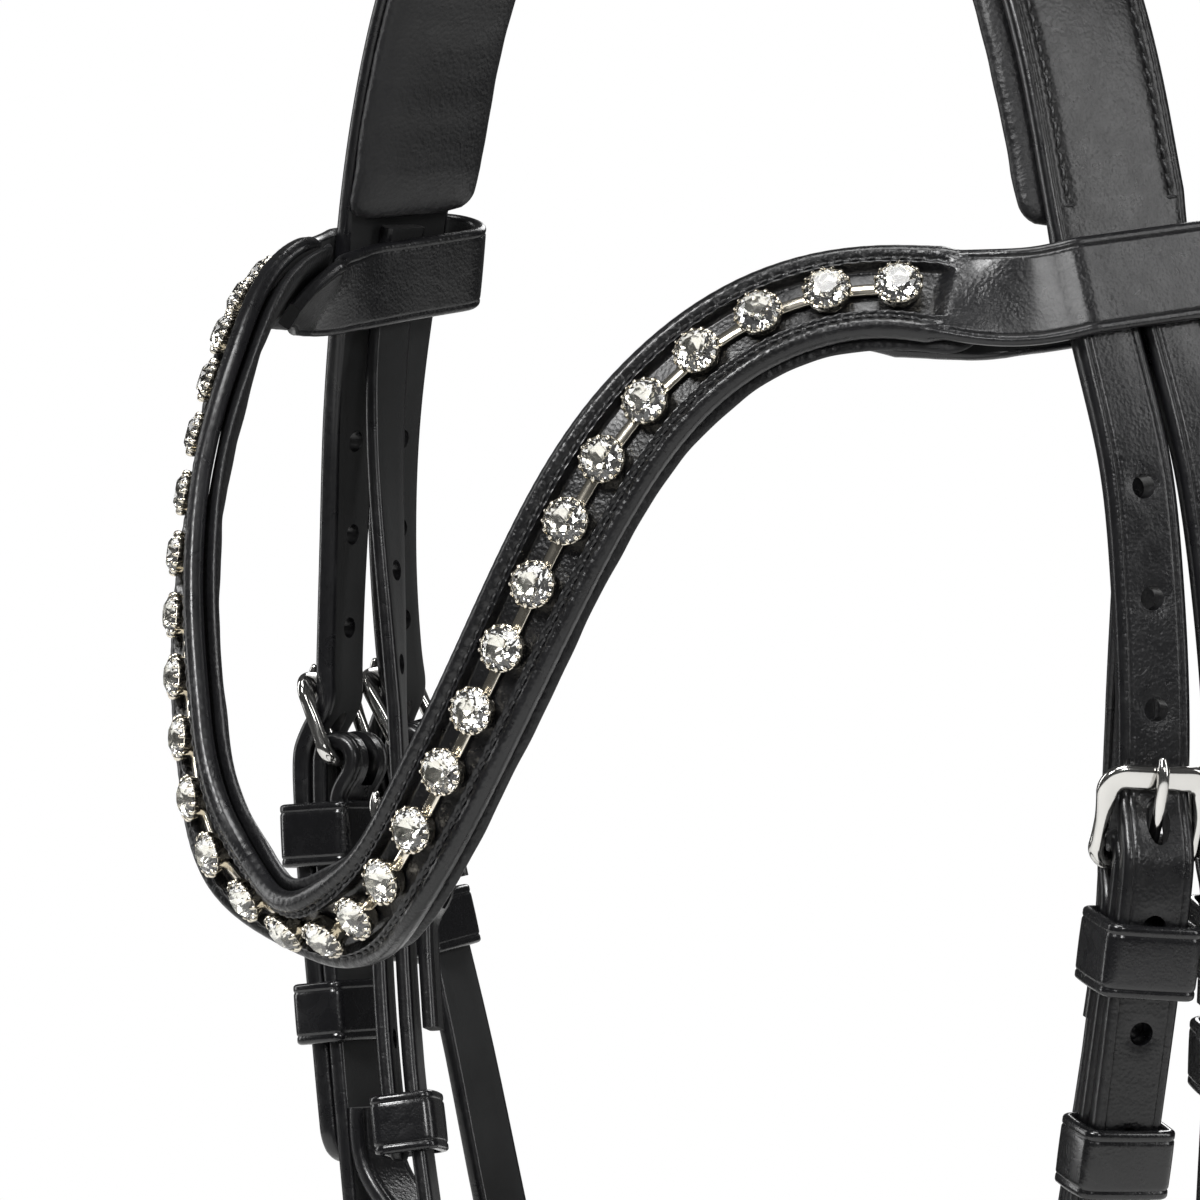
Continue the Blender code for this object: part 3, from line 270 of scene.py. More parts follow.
def joined(parts):
    verts, faces, base = [], [], 0
    for v, f in parts:
        verts.append(np.asarray(v))
        faces += [tuple(i + base for i in q) for q in f]
        base += len(v)
    return np.concatenate(verts), faces


# ---------------------------------------------------------------- tracks
def width_dir(P, angle):
    """Across-strap direction: rearwards, turned outwards by the angle at each point."""
    T = unit(np.gradient(P, axis=0))
    back = np.array([0.0, 1.0, 0.0])
    out = unit(np.cross(T, back))
    angle = np.broadcast_to(np.asarray(angle, float), (len(P),))[:, None]
    return np.cos(angle) * back + np.sin(angle) * out


def crown_track():
    left = [p for p in CROWN_EDGE]
    right = [(-x, y, z) for x, y, z in reversed(left[1:])]
    P = spline(right + left, 1.0)
    mid = np.abs(P[:, 0]) / 109.3
    return Track(P, width_dir(P, np.radians(8) * np.clip(mid, 0, 1)))


def side_track(edge):
    P = spline(edge, 1.0)
    a = np.interp(-P[:, 2], [108, 125, 150, 172, 200, 225, 250, 290, 340], [8, 11, 18, 23, 24, 20, 15, 9, 8])
    a = np.radians(np.convolve(np.pad(a, 8, mode="edge"), np.ones(17) / 17, mode="valid"))
    a[0] = math.radians(8)
    return Track(P, width_dir(P, a))


CROWN = crown_track()
FRONT = side_track(FRONT_EDGE)
REAR = side_track(REAR_EDGE)


def band_track():
    """Show-face middle line of the whole browband strip: flap, loop, band, loop, flap."""
    base = FRONT
    p0, t0, u0, n0 = base.frame(1.5)
    def loc(w, n):
        return p0 + w * u0 + n * n0
    top = LOOP_GAP + LOOP_T
    low = -(BILLET_T + 4.0) - LOOP_GAP - LOOP_T
    r = (top - low) / 2
    end_w = FRONT_W + SLIT + REAR_W + 0.9
    band = spline([(-x, y, z) for x, y, z in reversed(BAND_MID[1:])][-2:] + list(BAND_MID) + [tuple(loc(-7, top - 3.4)), tuple(loc(1.5, top))], 0.8)
    band = band[np.argmin(np.abs(band[:, 0])):]
    band[0, 0] = 0.0
    over = [loc(w, top) for w in np.linspace(3, end_w, 9)]
    ang = np.linspace(0, math.pi, 13)[1:]
    turn = [loc(end_w + r * math.sin(a), (top + low) / 2 + r * math.cos(a)) for a in ang]
    under = [loc(w, low) for w in np.linspace(end_w - 3, 3, 7)]
    outer = np.array(list(band) + over + turn + under)
    # The flap runs forward along the back of the band.
    tb = Track(band, (0, 0, 1))
    tilt = np.interp(tb.s, [d for d, _ in BAND_TILT], [a for _, a in BAND_TILT])
    tilt = np.radians(np.convolve(np.pad(tilt, 9, mode="reflect"), np.ones(19) / 19, mode="valid"))[:, None]
    tb = Track(band, np.cos(tilt) * tb.U - np.sin(tilt) * tb.N)
    total = tb.s[-1]
    off = -(BAND_T + GAP + LINING_T + 0.6 + LOOP_T)
    flap = [tb.pos(float(total - d), 0.0, off) for d in (22, 28, 34, 40, 46, 52)]
    link = spline([under[-2], under[-1], loc(-6, low - 1.6)] + flap, 0.8)
    P = np.concatenate([outer[:-2], link])
    P = spline(resample(P, 2.4), 1.0)
    s_loop0, s_loop1 = total - 8, total + 66
    s = arc_length(P)
    # Across-band direction, which the flap takes from the band it lies behind.
    near = np.array([np.argmin(((tb.P - q) ** 2).sum(1)) for q in P])
    up = np.where((s > total + 30)[:, None], tb.U[near], tb.frame(np.minimum(s, total))[2])
    k = np.clip((s - (total - 26)) / 22, 0, 1)
    k = np.where(s > total + 60, np.clip(1 - (s - total - 60) / 20, 0, 1), k)
    k = (k * k * (3 - 2 * k))[:, None]
    ref = (1 - k) * up + k * (-t0)
    M = P[1:][::-1] * np.array([-1, 1, 1])
    R = ref[1:][::-1] * np.array([-1, 1, 1])
    return Track(np.concatenate([M, P]), np.concatenate([R, ref])), s[-1], total


BAND, BAND_HALF, BAND_REACH = band_track()


def nose_track():
    tau = np.linspace(0, 2 * math.pi, 400)
    P = np.stack([-NOSE_A * np.cos(tau), NOSE_Y + NOSE_B * np.sin(tau), np.full_like(tau, NOSE_Z)], 1)
    nh = unit(np.stack([-np.cos(tau) / NOSE_A, np.sin(tau) / NOSE_B, np.zeros_like(tau)], 1))
    P = P + np.array([0, 0, -1.0]) * 0.0
    ref = -np.array([0.0, 0.0, 1.0]) * math.cos(NOSE_TILT) - nh * math.sin(NOSE_TILT)
    return Track(P, ref)


NOSE = nose_track()


def throat_track():
    left = list(THROAT)
    right = [(-x, y, z) for x, y, z in reversed(left[:-1])]
    P = spline([(x, y + (0 if x > 0 else np.interp(-z, [q for q, _ in THROAT_BACK], [b for _, b in THROAT_BACK])), z) for x, y, z in left + right], 1.0)
    back = np.array([0.0, 1.0, 0.0])
    T = unit(np.gradient(P, axis=0))
    out = unit(np.cross(T, back))
    z = P[:, 2]
    a = np.radians(np.interp(-z, [101, 130, 165, 195, 300, 345, 365], [8, 12, 30, 48, 44, 8, 0]))[:, None]
    return Track(P, np.cos(a) * back + np.sin(a) * out)


THROATLASH = throat_track()


def billet_line(s_b, s_tip):
    """Face height of a billet: level above the buckle, under its top bar, then over the turned-back strap."""
    near = [(s_b - 16, 0), (s_b - 8, -0.15), (s_b - 1, -0.45), (s_b + 2.6, -0.45), (s_b + 6.3, 1.5), (s_b + 10, 3.5),
            (s_b + 12.4, 4.4), (s_b + 15.5, 4.75), (s_b + 22, 4.7)]
    return [(0, 0)] + near + [(s_b + 34, 4.7), (s_b + 50, 4.7), (s_tip, 4.7)]


S_BAR = {"front": FRONT.s_at_z(FRONT_BAR_Z), "rear": REAR.s_at_z(FRONT_BAR_Z)}
TIP = {"front": S_BAR["front"] + 96.0, "rear": S_BAR["rear"] + 60.0}


def billet_track(which):
    base = FRONT if which == "front" else REAR
    return route(base, billet_line(S_BAR[which], TIP[which]))


def hole_list(which, upper):
    """Distances of the billet's holes from the slit, above or below the flex line at the top bar."""
    s_b = S_BAR[which]
    at = [s_b + 7.2 + HOLE_PITCH * k for k in (-3, -2, -1, 1, 2, 3, 4)]
    return [a for a in at if (a < s_b - 4) == upper and a > 12 and a < TIP[which] - 8]


def frame_loop(track, s_b, w0, w1, n_top, n_low, length, res=3, r_corner=3.0):
    """Rounded rectangle of the buckle frame: points, in-plane outward directions, plane normal."""
    p, t, u, nn = track.frame(s_b + length / 2)
    top = track.pos(s_b, (w0 + w1) / 2, n_top)
    low = track.pos(s_b + length, (w0 + w1) / 2, n_low)
    along = unit(low - top)
    mid = (top + low) / 2
    hw, hl = (w1 - w0) / 2, np.linalg.norm(low - top) / 2
    across = unit(u - u.dot(along) * along)
    m = np.cross(along, across)
    pts, outs = [], []
    for cx, cy, a0 in ((1, -1, -90), (1, 1, 0), (-1, 1, 90), (-1, -1, 180)):
        for q in range(res + 1):
            a = math.radians(a0 + 90 * q / res)
            o = math.cos(a) * across + math.sin(a) * along
            c = mid + cx * (hw - r_corner) * across + cy * (hl - r_corner) * along
            pts.append(c + r_corner * o)
            outs.append(o)
    return np.array(pts), np.array(outs), m, mid, along, across


def chape_start(s_b, scale=1.0, inner_end=42.0):
    """Face line of a turned-back strap round the lower bar, ending level on the outer side."""
    s0 = s_b + BUCKLE_L * scale
    n0 = BAR_N
    level = -2 * CHAPE_T - 0.4
    back = spline([(s_b + inner_end, level), (s_b + inner_end - 9, level), (s0 + 9.5, level), (s0 + 7.5, level - 0.25), (s0 + 4.5, 2 * n0 + 1.35),
                   (s0 + 1.5, 2 * n0 + 0.1)], 1.5)
    return [tuple(q) for q in back] + half_turn(s0, n0, -n0, True)[0:]


def chape_slot(track, s_b, w, scale=1.0):
    """Cutter for the tongue's slot through the turned-back end."""
    s0 = s_b + BUCKLE_L * scale
    p, t, u, nn = track.frame(s0 - 2.0)
    c = p + w / 2 * u - 5.0 * nn
    hw, hs, hn = 1.9, 7.2, 6.6
    corner = [c + a * hw * u + b * hs * t + d * hn * nn for a, b, d in
              ((-1, -1, -1), (1, -1, -1), (1, 1, -1), (-1, 1, -1), (-1, -1, 1), (1, -1, 1), (1, 1, 1), (-1, 1, 1))]
    return np.array(corner), [(3, 2, 1, 0), (4, 5, 6, 7), (0, 1, 5, 4), (1, 2, 6, 5), (2, 3, 7, 6), (3, 0, 4, 7)]


def loop_end(s_n, half, depth):
    """Face line of a strap end that goes down, under a band of the given half height and depth, and back up inside."""
    r = depth / 2 + CHAPE_T
    s_c = s_n + half - 1.6
    pts = half_turn(s_c, -r, r, False)
    back = spline([(s_c, -2 * r), (s_n - half - 1.0, -2 * r), (s_n - half - 15, -2 * CHAPE_T - 0.9), (s_n - half - 26, -2 * CHAPE_T - 0.5)], 2.0)
    return pts[:-1] + [tuple(q) for q in back]


def bit_point():
    """Where the ring's wire passes through the cheekpiece's lower loop: s and n."""
    s_c = REAR.s_at_z(-394.0)
    n_c = -(CHAPE_T + 1.3 + RING_WIRE)
    return s_c, n_c


def smooth_track(P, U, step=1.0):
    length = arc_length(P)
    Q = resample(P, step)
    at = np.linspace(0, length[-1], len(Q))
    V = np.stack([np.interp(at, length, U[:, k]) for k in range(3)], 1)
    return Track(Q, V)


def bit_frame():
    s_c, n_c = bit_point()
    p, t, u, nn = REAR.frame(s_c)
    top = p + REAR_W / 2 * u + n_c * nn
    return top, t, u, nn


def circle(c, a, b, r, count):
    ang = np.arange(count) * 2 * math.pi / count
    return c + (r * np.cos(ang))[:, None] * a + (r * np.sin(ang))[:, None] * b


def nose_s(tau):
    """Distance along the noseband ring at an angle, 0 on the right, a quarter turn at the rear, a half on the left."""
    return float(np.interp(tau, np.linspace(0, 2 * math.pi, len(NOSE.s)), NOSE.s))


def laid(track, line):
    """A track laid on another one along a face line of (s, n) points."""
    sn = np.array([tuple(q)[:2] for q in line], float)
    P = track.pos(sn[:, 0], np.zeros(len(sn)), sn[:, 1])
    return smooth_track(P, track.frame(sn[:, 0])[2])



# ------------------------------------------------------------------ materials
def new_material(name):
    m = bpy.data.materials.new(name)
    m.use_nodes = True
    nt = m.node_tree
    b = nt.nodes["Principled BSDF"]
    return m, nt, b


def node(nt, kind, **values):
    n = nt.nodes.new(kind)
    for k, v in values.items():
        if k in n.inputs:
            n.inputs[k].default_value = v
        else:
            setattr(n, k, v)
    return n


def leather(name, base, rough, grain=0.10, grain_scale=1500.0, crease=0.10, coat=0.25, coat_rough=0.22, lift=1.6, edge_highlight=0.0):
    """Finished leather: pebbled grain, finer pores, long soft wrinkles, a broken sheen and a slightly uneven dye, plus
    a painted highlight that lightens the colour of the convex edges.
    """
    m, nt, b = new_material(name)
    L = nt.links.new
    tc = nt.nodes.new("ShaderNodeTexCoord")
    vor = node(nt, "ShaderNodeTexVoronoi", feature="SMOOTH_F1", Scale=grain_scale)
    vor.inputs["Smoothness"].default_value = 0.35
    fine = node(nt, "ShaderNodeTexNoise", Scale=grain_scale * 2.7, Detail=3.0)
    soft = node(nt, "ShaderNodeTexNoise", Scale=210.0, Detail=6.0, Roughness=0.62, Distortion=0.9)
    wide = node(nt, "ShaderNodeTexNoise", Scale=28.0, Detail=2.0)
    for t in (vor, fine, soft, wide):
        L(tc.outputs["Object"], t.inputs["Vector"])
    add = node(nt, "ShaderNodeMath", operation="MULTIPLY_ADD")
    add.inputs[1].default_value = 0.35
    L(fine.outputs["Fac"], add.inputs[0])
    L(vor.outputs["Distance"], add.inputs[2])
    bump1 = node(nt, "ShaderNodeBump", Strength=min(1.0, grain * 6), Distance=0.0001)
    L(add.outputs[0], bump1.inputs["Height"])
    bump2 = node(nt, "ShaderNodeBump", Strength=min(1.0, crease * 6), Distance=0.00028)
    L(soft.outputs["Fac"], bump2.inputs["Height"])
    L(bump1.outputs["Normal"], bump2.inputs["Normal"])
    L(bump2.outputs["Normal"], b.inputs["Normal"])
    ramp = nt.nodes.new("ShaderNodeValToRGB")
    ramp.color_ramp.elements[0].position = 0.32
    ramp.color_ramp.elements[1].position = 0.72
    ramp.color_ramp.elements[0].color = (*[c * 0.75 for c in base], 1)
    ramp.color_ramp.elements[1].color = (*[min(1, c * lift) for c in base], 1)
    L(wide.outputs["Fac"], ramp.inputs["Fac"])
    # Painted highlight: the base colour is lifted where pointiness marks a convex edge, standing in for the highlight
    # lines along the rims.
    if edge_highlight > 0:
        geo = nt.nodes.new("ShaderNodeNewGeometry")
        edge = nt.nodes.new("ShaderNodeValToRGB")
        edge.color_ramp.elements[0].position = 0.53
        edge.color_ramp.elements[1].position = 0.62
        mix = nt.nodes.new("ShaderNodeMix")
        mix.data_type = "RGBA"
        mix.inputs["B"].default_value = (*[min(1, c * (1 + edge_highlight)) for c in base], 1)
        L(geo.outputs["Pointiness"], edge.inputs["Fac"])
        L(edge.outputs["Color"], mix.inputs["Factor"])
        L(ramp.outputs["Color"], mix.inputs["A"])
        L(mix.outputs["Result"], b.inputs["Base Color"])
    else:
        L(ramp.outputs["Color"], b.inputs["Base Color"])
    rr = node(nt, "ShaderNodeMapRange")
    rr.inputs["From Min"].default_value = 0.3
    rr.inputs["From Max"].default_value = 0.7
    rr.inputs["To Min"].default_value = rough - 0.06
    rr.inputs["To Max"].default_value = rough + 0.08
    L(soft.outputs["Fac"], rr.inputs["Value"])
    L(rr.outputs["Result"], b.inputs["Roughness"])
    b.inputs["Coat Weight"].default_value = coat
    b.inputs["Coat Roughness"].default_value = coat_rough
    b.inputs["Specular IOR Level"].default_value = 0.32
    return m


def flesh_side(name, base, rough=0.78):
    """Back of a strap: short nap with dull streaks."""
    m, nt, b = new_material(name)
    L = nt.links.new
    tc = nt.nodes.new("ShaderNodeTexCoord")
    nap = node(nt, "ShaderNodeTexNoise", Scale=2600.0, Detail=4.0, Roughness=0.7)
    blot = node(nt, "ShaderNodeTexNoise", Scale=60.0, Detail=4.0)
    for t in (nap, blot):
        L(tc.outputs["Object"], t.inputs["Vector"])
    ramp = nt.nodes.new("ShaderNodeValToRGB")
    ramp.color_ramp.elements[0].position = 0.3
    ramp.color_ramp.elements[1].position = 0.75
    ramp.color_ramp.elements[0].color = (*[c * 0.7 for c in base], 1)
    ramp.color_ramp.elements[1].color = (*[c * 1.5 for c in base], 1)
    L(blot.outputs["Fac"], ramp.inputs["Fac"])
    L(ramp.outputs["Color"], b.inputs["Base Color"])
    bump = node(nt, "ShaderNodeBump", Strength=0.5, Distance=0.00008)
    L(nap.outputs["Fac"], bump.inputs["Height"])
    L(bump.outputs["Normal"], b.inputs["Normal"])
    b.inputs["Roughness"].default_value = rough
    b.inputs["Specular IOR Level"].default_value = 0.25
    b.inputs["Sheen Weight"].default_value = 0.05
    return m


def metal(name, base, rough, scratch=0.35, brush=900.0):
    """Polished metal with faint haze and hairline scratches."""
    m, nt, b = new_material(name)
    L = nt.links.new
    tc = nt.nodes.new("ShaderNodeTexCoord")
    haze = node(nt, "ShaderNodeTexNoise", Scale=180.0, Detail=5.0)
    hair = node(nt, "ShaderNodeTexNoise", Scale=brush, Detail=3.0, Distortion=2.0)
    for t in (haze, hair):
        L(tc.outputs["Object"], t.inputs["Vector"])
    rr = node(nt, "ShaderNodeMapRange")
    rr.inputs["To Min"].default_value = max(0.02, rough - 0.04)
    rr.inputs["To Max"].default_value = rough + 0.09
    L(haze.outputs["Fac"], rr.inputs["Value"])
    L(rr.outputs["Result"], b.inputs["Roughness"])
    ramp = nt.nodes.new("ShaderNodeValToRGB")
    ramp.color_ramp.elements[0].color = (*[c * 0.90 for c in base], 1)
    ramp.color_ramp.elements[1].color = (*[min(1, c * 1.04) for c in base], 1)
    L(haze.outputs["Fac"], ramp.inputs["Fac"])
    L(ramp.outputs["Color"], b.inputs["Base Color"])
    bump = node(nt, "ShaderNodeBump", Strength=scratch, Distance=0.00001)
    L(hair.outputs["Fac"], bump.inputs["Height"])
    L(bump.outputs["Normal"], b.inputs["Normal"])
    b.inputs["Metallic"].default_value = 1.0
    return m


def crystal_material():
    m, nt, b = new_material("crystal_clear")
    L = nt.links.new
    tc = nt.nodes.new("ShaderNodeTexCoord")
    tint = node(nt, "ShaderNodeTexNoise", Scale=120.0, Detail=2.0)
    L(tc.outputs["Object"], tint.inputs["Vector"])
    ramp = nt.nodes.new("ShaderNodeValToRGB")
    ramp.color_ramp.elements[0].color = (0.90, 0.91, 0.93, 1)
    ramp.color_ramp.elements[1].color = (1.0, 0.99, 0.96, 1)
    L(tint.outputs["Fac"], ramp.inputs["Fac"])
    L(ramp.outputs["Color"], b.inputs["Base Color"])
    b.inputs["Roughness"].default_value = 0.02
    b.inputs["IOR"].default_value = 1.55
    b.inputs["Transmission Weight"].default_value = 1.0
    return m


def thread_material(name, base, rough=0.5):
    m, nt, b = new_material(name)
    L = nt.links.new
    tc = nt.nodes.new("ShaderNodeTexCoord")
    ply_bump_and_shade = node(nt, "ShaderNodeTexWave", Scale=1400.0, Distortion=1.0)
    L(tc.outputs["Object"], ply_bump_and_shade.inputs["Vector"])
    # The colour follows the ply relief: painted shade darkens the twist grooves and a painted highlight lightens the
    # ridges.
    ramp = nt.nodes.new("ShaderNodeValToRGB")
    ramp.color_ramp.elements[0].color = (*[c * 0.6 for c in base], 1)
    ramp.color_ramp.elements[1].color = (*[c * 1.5 for c in base], 1)
    L(ply_bump_and_shade.outputs["Fac"], ramp.inputs["Fac"])
    L(ramp.outputs["Color"], b.inputs["Base Color"])
    bump = node(nt, "ShaderNodeBump", Strength=0.5, Distance=0.00005)
    L(ply_bump_and_shade.outputs["Fac"], bump.inputs["Height"])
    L(bump.outputs["Normal"], b.inputs["Normal"])
    b.inputs["Roughness"].default_value = rough
    return m


BLACK = (0.0042, 0.0042, 0.0047)
# The edge values below give each leather a painted highlight on its convex edges.
MAT_FACE = leather("leather_face", BLACK, 0.31, grain=0.13, grain_scale=1500, crease=0.15, coat=0.2, coat_rough=0.16, edge_highlight=0.5)
MAT_CROWN = leather("leather_crown", (0.0052, 0.0051, 0.0053), 0.31, grain=0.15, grain_scale=1300, crease=0.15, coat=0.2, coat_rough=0.18, edge_highlight=0.4)
MAT_SMOOTH = leather("leather_polished", (0.0036, 0.0036, 0.0042), 0.25, grain=0.045, grain_scale=1900, crease=0.07, coat=0.40, coat_rough=0.13, edge_highlight=0.7)
MAT_PAD = leather("leather_padding", (0.0048, 0.0048, 0.0054), 0.42, grain=0.18, grain_scale=1150, crease=0.16, coat=0.08, coat_rough=0.35)
MAT_BACK = flesh_side("leather_back", (0.0085, 0.0088, 0.0090))
MAT_EDGE = leather("leather_edge", (0.0034, 0.0034, 0.0040), 0.30, grain=0.02, grain_scale=1400, crease=0.10, coat=0.25, coat_rough=0.2, edge_highlight=0.8)
MAT_THREAD = thread_material("waxed_thread", (0.0045, 0.0045, 0.005))
MAT_STEEL = metal("polished_steel", (0.60, 0.59, 0.57), 0.10)
MAT_SILVER = metal("cup_silver", (0.72, 0.67, 0.57), 0.16, scratch=0.2)
MAT_FOIL = metal("crystal_foil", (0.95, 0.93, 0.86), 0.16, scratch=0.05)
MAT_CRYSTAL = crystal_material()


# ------------------------------------------------------------------ mesh makers
def add_object(name, verts, faces, mats, slots=None, angle=50.0, smooth=True):
    mesh = bpy.data.meshes.new(name)
    mesh.from_pydata((np.asarray(verts, float) * MM).tolist(), [], faces)
    bm = bmesh.new()
    bm.from_mesh(mesh)
    if bm.calc_volume(signed=True) < 0:
        bmesh.ops.reverse_faces(bm, faces=bm.faces[:])
    bm.to_mesh(mesh)
    bm.free()
    for m in mats:
        mesh.materials.append(m)
    if slots is not None:
        mesh.polygons.foreach_set("material_index", np.asarray(slots, np.int32))
    if smooth:
        mesh.shade_smooth()
        mesh.set_sharp_from_angle(angle=math.radians(angle))
    ob = bpy.data.objects.new(name, mesh)
    bpy.context.scene.collection.objects.link(ob)
    return ob


def flip_x(verts):
    return np.asarray(verts, float) * np.array([-1.0, 1.0, 1.0])


def ring_faces(m, k, closed_rings=False, closed_profile=True):
    out = []
    kk = k if closed_profile else k - 1
    for i in range(m if closed_rings else m - 1):
        a, b = i * k, ((i + 1) % m) * k
        for j in range(kk):
            out.append((a + j, a + (j + 1) % k, b + (j + 1) % k, b + j))
    return out


def rows_on(track, st, rows):
    """Positions of profile rows (m, k, 2) at the stations."""
    p, _, u, nn = track.frame(np.asarray(st))
    rows = np.asarray(rows, float)
    return p[:, None, :] + rows[..., :1] * u[:, None, :] + rows[..., 1:] * nn[:, None, :]


def band_mesh(name, track, st, rows, mats, slot_of, mirror=False, closed=False, angle=50.0):
    """A swept band; slot_of gives a material slot per profile segment."""
    V = rows_on(track, st, rows)
    m, k = V.shape[:2]
    verts = V.reshape(-1, 3)
    faces = ring_faces(m, k, closed)
    slots = [slot_of[j] for _ in range(m if closed else m - 1) for j in range(k)]
    if not closed:
        faces += [tuple(range(k - 1, -1, -1)), tuple((m - 1) * k + j for j in range(k))]
        slots += [slot_of[0], slot_of[0]]
    if mirror:
        verts = flip_x(verts)
        faces = [tuple(reversed(f)) for f in faces]
    return add_object(name, verts, faces, mats, slots, angle)


def round_section(w0, w1, t, face, r=1.0, inner=5, across=26, creases=()):
    """Closed section of a strap: the back, rounded burnished edges, then the face, flat, sampled across its width; the
    argument face is not used.
    """
    ws = np.linspace(w0 + r * 0.9, w1 - r * 0.9, across)
    extra = [c + d for c in creases for d in (-0.45, -0.22, 0.0, 0.22, 0.45)]
    ws = np.unique(np.r_[ws[[min(abs(w - np.array(extra))) > 0.2 if extra else True for w in ws]], extra])
    pts = [(w, -t) for w in np.linspace(w1 - r, w0 + r, inner)]
    kinds = [1] * (inner - 1) + [2]
    for a in (0.5, 1.0):
        q = math.pi / 2 * a
        pts.append((w0 + r - r * math.sin(q), -t + r - r * math.cos(q)))
        kinds.append(2)
    for a in (0.0, 0.35, 0.7):
        q = math.pi / 2 * a
        pts.append((w0 + r - r * math.cos(q), -r + r * math.sin(q)))
        kinds.append(2)
    kinds[-1] = 0
    n_face = len(ws)
    face_start = len(pts)
    for w in ws:
        pts.append((w, 0.0))
        kinds.append(0)
    for a in (0.7, 0.35, 0.0):
        q = math.pi / 2 * a
        pts.append((w1 - r + r * math.cos(q), -r + r * math.sin(q)))
        kinds.append(2)
    kinds[face_start + n_face - 1] = 0
    for a in (1.0, 0.5):
        q = math.pi / 2 * a
        pts.append((w1 - r + r * math.sin(q), -t + r - r * math.cos(q)))
        kinds.append(2)
    return np.array(pts), kinds, slice(face_start, face_start + n_face)


def strap_visual(name, track, w0, w1, t, mats, s0=None, s1=None, ds=1.0, creases=(1.9,), crown=0.12, holes=(), tips=(0, 0),
                 stitches=(), mirror=False, depth=0.2, r=None, dome=None):
    """A finished strap: crowned face, pressed crease lines, dimples round the holes, rounded points, sewn lines.
    mats are face, back, edge.  holes holds (s, length stretch).  stitches holds (w, from, to, pitch)."""
    lo = track.s[0] if s0 is None else s0
    hi = track.s[-1] if s1 is None else s1
    r = min(1.0, t * 0.42) if r is None else r
    st = np.array(spaced(track, ds, lo, hi, 9.0))
    for k, at in ((tips[0], lo), (tips[1], hi)):
        if k:
            d = k * (1 - np.cos(np.linspace(0, math.pi / 2, 12)))
            st = np.r_[st[np.abs(st - at) > k], at + d if at == lo else at - d]
            st = np.unique(st)
    lines = [w0 + c for c in creases] + [w1 - c for c in creases]
    sew = [w for w, *_ in stitches]
    prof, kinds, face = round_section(w0, w1, t, None, r, creases=lines + sew)
    rows = np.repeat(prof[None], len(st), 0)
    W, mid = w1 - w0, (w0 + w1) / 2
    fw = prof[face, 0]
    base = crown * (1 - (2 * (fw - mid) / W) ** 2)
    for c in lines:
        base = base - depth * np.exp(-((fw - c) / 0.26) ** 2) + depth * 0.35 * np.exp(-((np.abs(fw - c) - 0.6) / 0.3) ** 2)
    rows[:, face, 1] += base
    for w, a, b, pitch in stitches:
        on = (st > a - 0.5) & (st < b + 0.5)
        wave = 0.22 + 0.16 * np.cos(2 * math.pi * (st - a) / pitch)
        rows[:, face, 1] -= (on * wave)[:, None] * np.exp(-((fw - w) / 0.5) ** 2)[None]
    for s, stretch in holes:
        d2 = ((st - s)[:, None] / (2.9 * stretch)) ** 2 + ((fw - mid)[None] / 2.9) ** 2
        rows[:, face, 1] -= 0.34 * np.exp(-(d2 ** 2))
    if dome is not None:
        rows[:, face, 1] += dome(st[:, None], fw[None])
    for k, at, sign in ((tips[0], lo, 1), (tips[1], hi, -1)):
        if k:
            d = np.clip(sign * (st - at) / k, 0, 1)
            f = np.sqrt(np.clip(1 - (1 - d) ** 2, 0.0, 1))
            f = 0.16 + 0.84 * f
            rows[..., 0] = mid + (rows[..., 0] - mid) * f[:, None]
            tfac = np.clip(0.55 + 0.45 * np.sqrt(np.clip(d * 3, 0, 1)), 0, 1)
            rows[..., 1] = -t / 2 + (rows[..., 1] + t / 2) * tfac[:, None]
    ob = band_mesh(name, track, st, rows, list(mats), kinds, mirror)
    if holes:
        cut = []
        for s, stretch in holes:
            p, tt, u, nn = track.frame(s)
            c = pin(p + mid * u - t / 2 * nn, nn, tt, 2.05, t / 2 + 2.4, 28, stretch)
            cut.append(c)
        data = joined(cut)
        if mirror:
            data = (flip_x(data[0]), [tuple(reversed(f)) for f in data[1]])
        cut_out(ob, data, mats[2])
    return ob


def cut_out(ob, data, mat):
    """Cuts with an exact boolean and bevels nothing: the wall of the cut takes the last material."""
    cutter = add_object("cutter", data[0], data[1], [mat], smooth=False)
    mod = ob.modifiers.new("cut", "BOOLEAN")
    mod.operation, mod.solver, mod.object = "DIFFERENCE", "EXACT", cutter
    mod.material_mode = "TRANSFER"
    dg = bpy.context.evaluated_depsgraph_get()
    dg.update()
    res = bpy.data.meshes.new_from_object(ob.evaluated_get(dg))
    ob.modifiers.clear()
    old = ob.data
    ob.data = res
    res.name = ob.name
    bpy.data.meshes.remove(old)
    bpy.data.objects.remove(cutter, do_unlink=True)
    res.shade_smooth()
    res.set_sharp_from_angle(angle=math.radians(50))
    return ob


def tube_rings(P, radius, sides, ref=None, closed=False):
    P = np.asarray(P, float)
    T = unit(np.roll(P, -1, 0) - np.roll(P, 1, 0)) if closed else unit(np.gradient(P, axis=0))
    a = np.array([0.0, 0.0, 1.0]) if abs(T[0][2]) < 0.8 else np.array([0.0, 1.0, 0.0])
    if ref is not None:
        a = np.asarray(ref, float)
    rings = []
    ang = np.arange(sides) * 2 * math.pi / sides
    for i, p in enumerate(P):
        a = unit(a - a.dot(T[i]) * T[i])
        b = np.cross(T[i], a)
        r = radius[i] if np.ndim(radius) else radius
        rings.append(p + r * np.cos(ang)[:, None] * a + r * np.sin(ang)[:, None] * b)
    if closed:
        # Undo the twist that has gathered round the loop.
        d0 = unit(rings[0][0] - P[0])
        a2 = unit(a - a.dot(T[0]) * T[0])
        b2 = np.cross(T[0], a2)
        twist = math.atan2(d0.dot(b2), d0.dot(a2))
        out = []
        for i, ring in enumerate(rings):
            th = twist * i / len(rings)
            q = ring - P[i]
            out.append(P[i] + q * math.cos(th) + np.cross(T[i], q) * math.sin(th))
        rings = out
    return rings


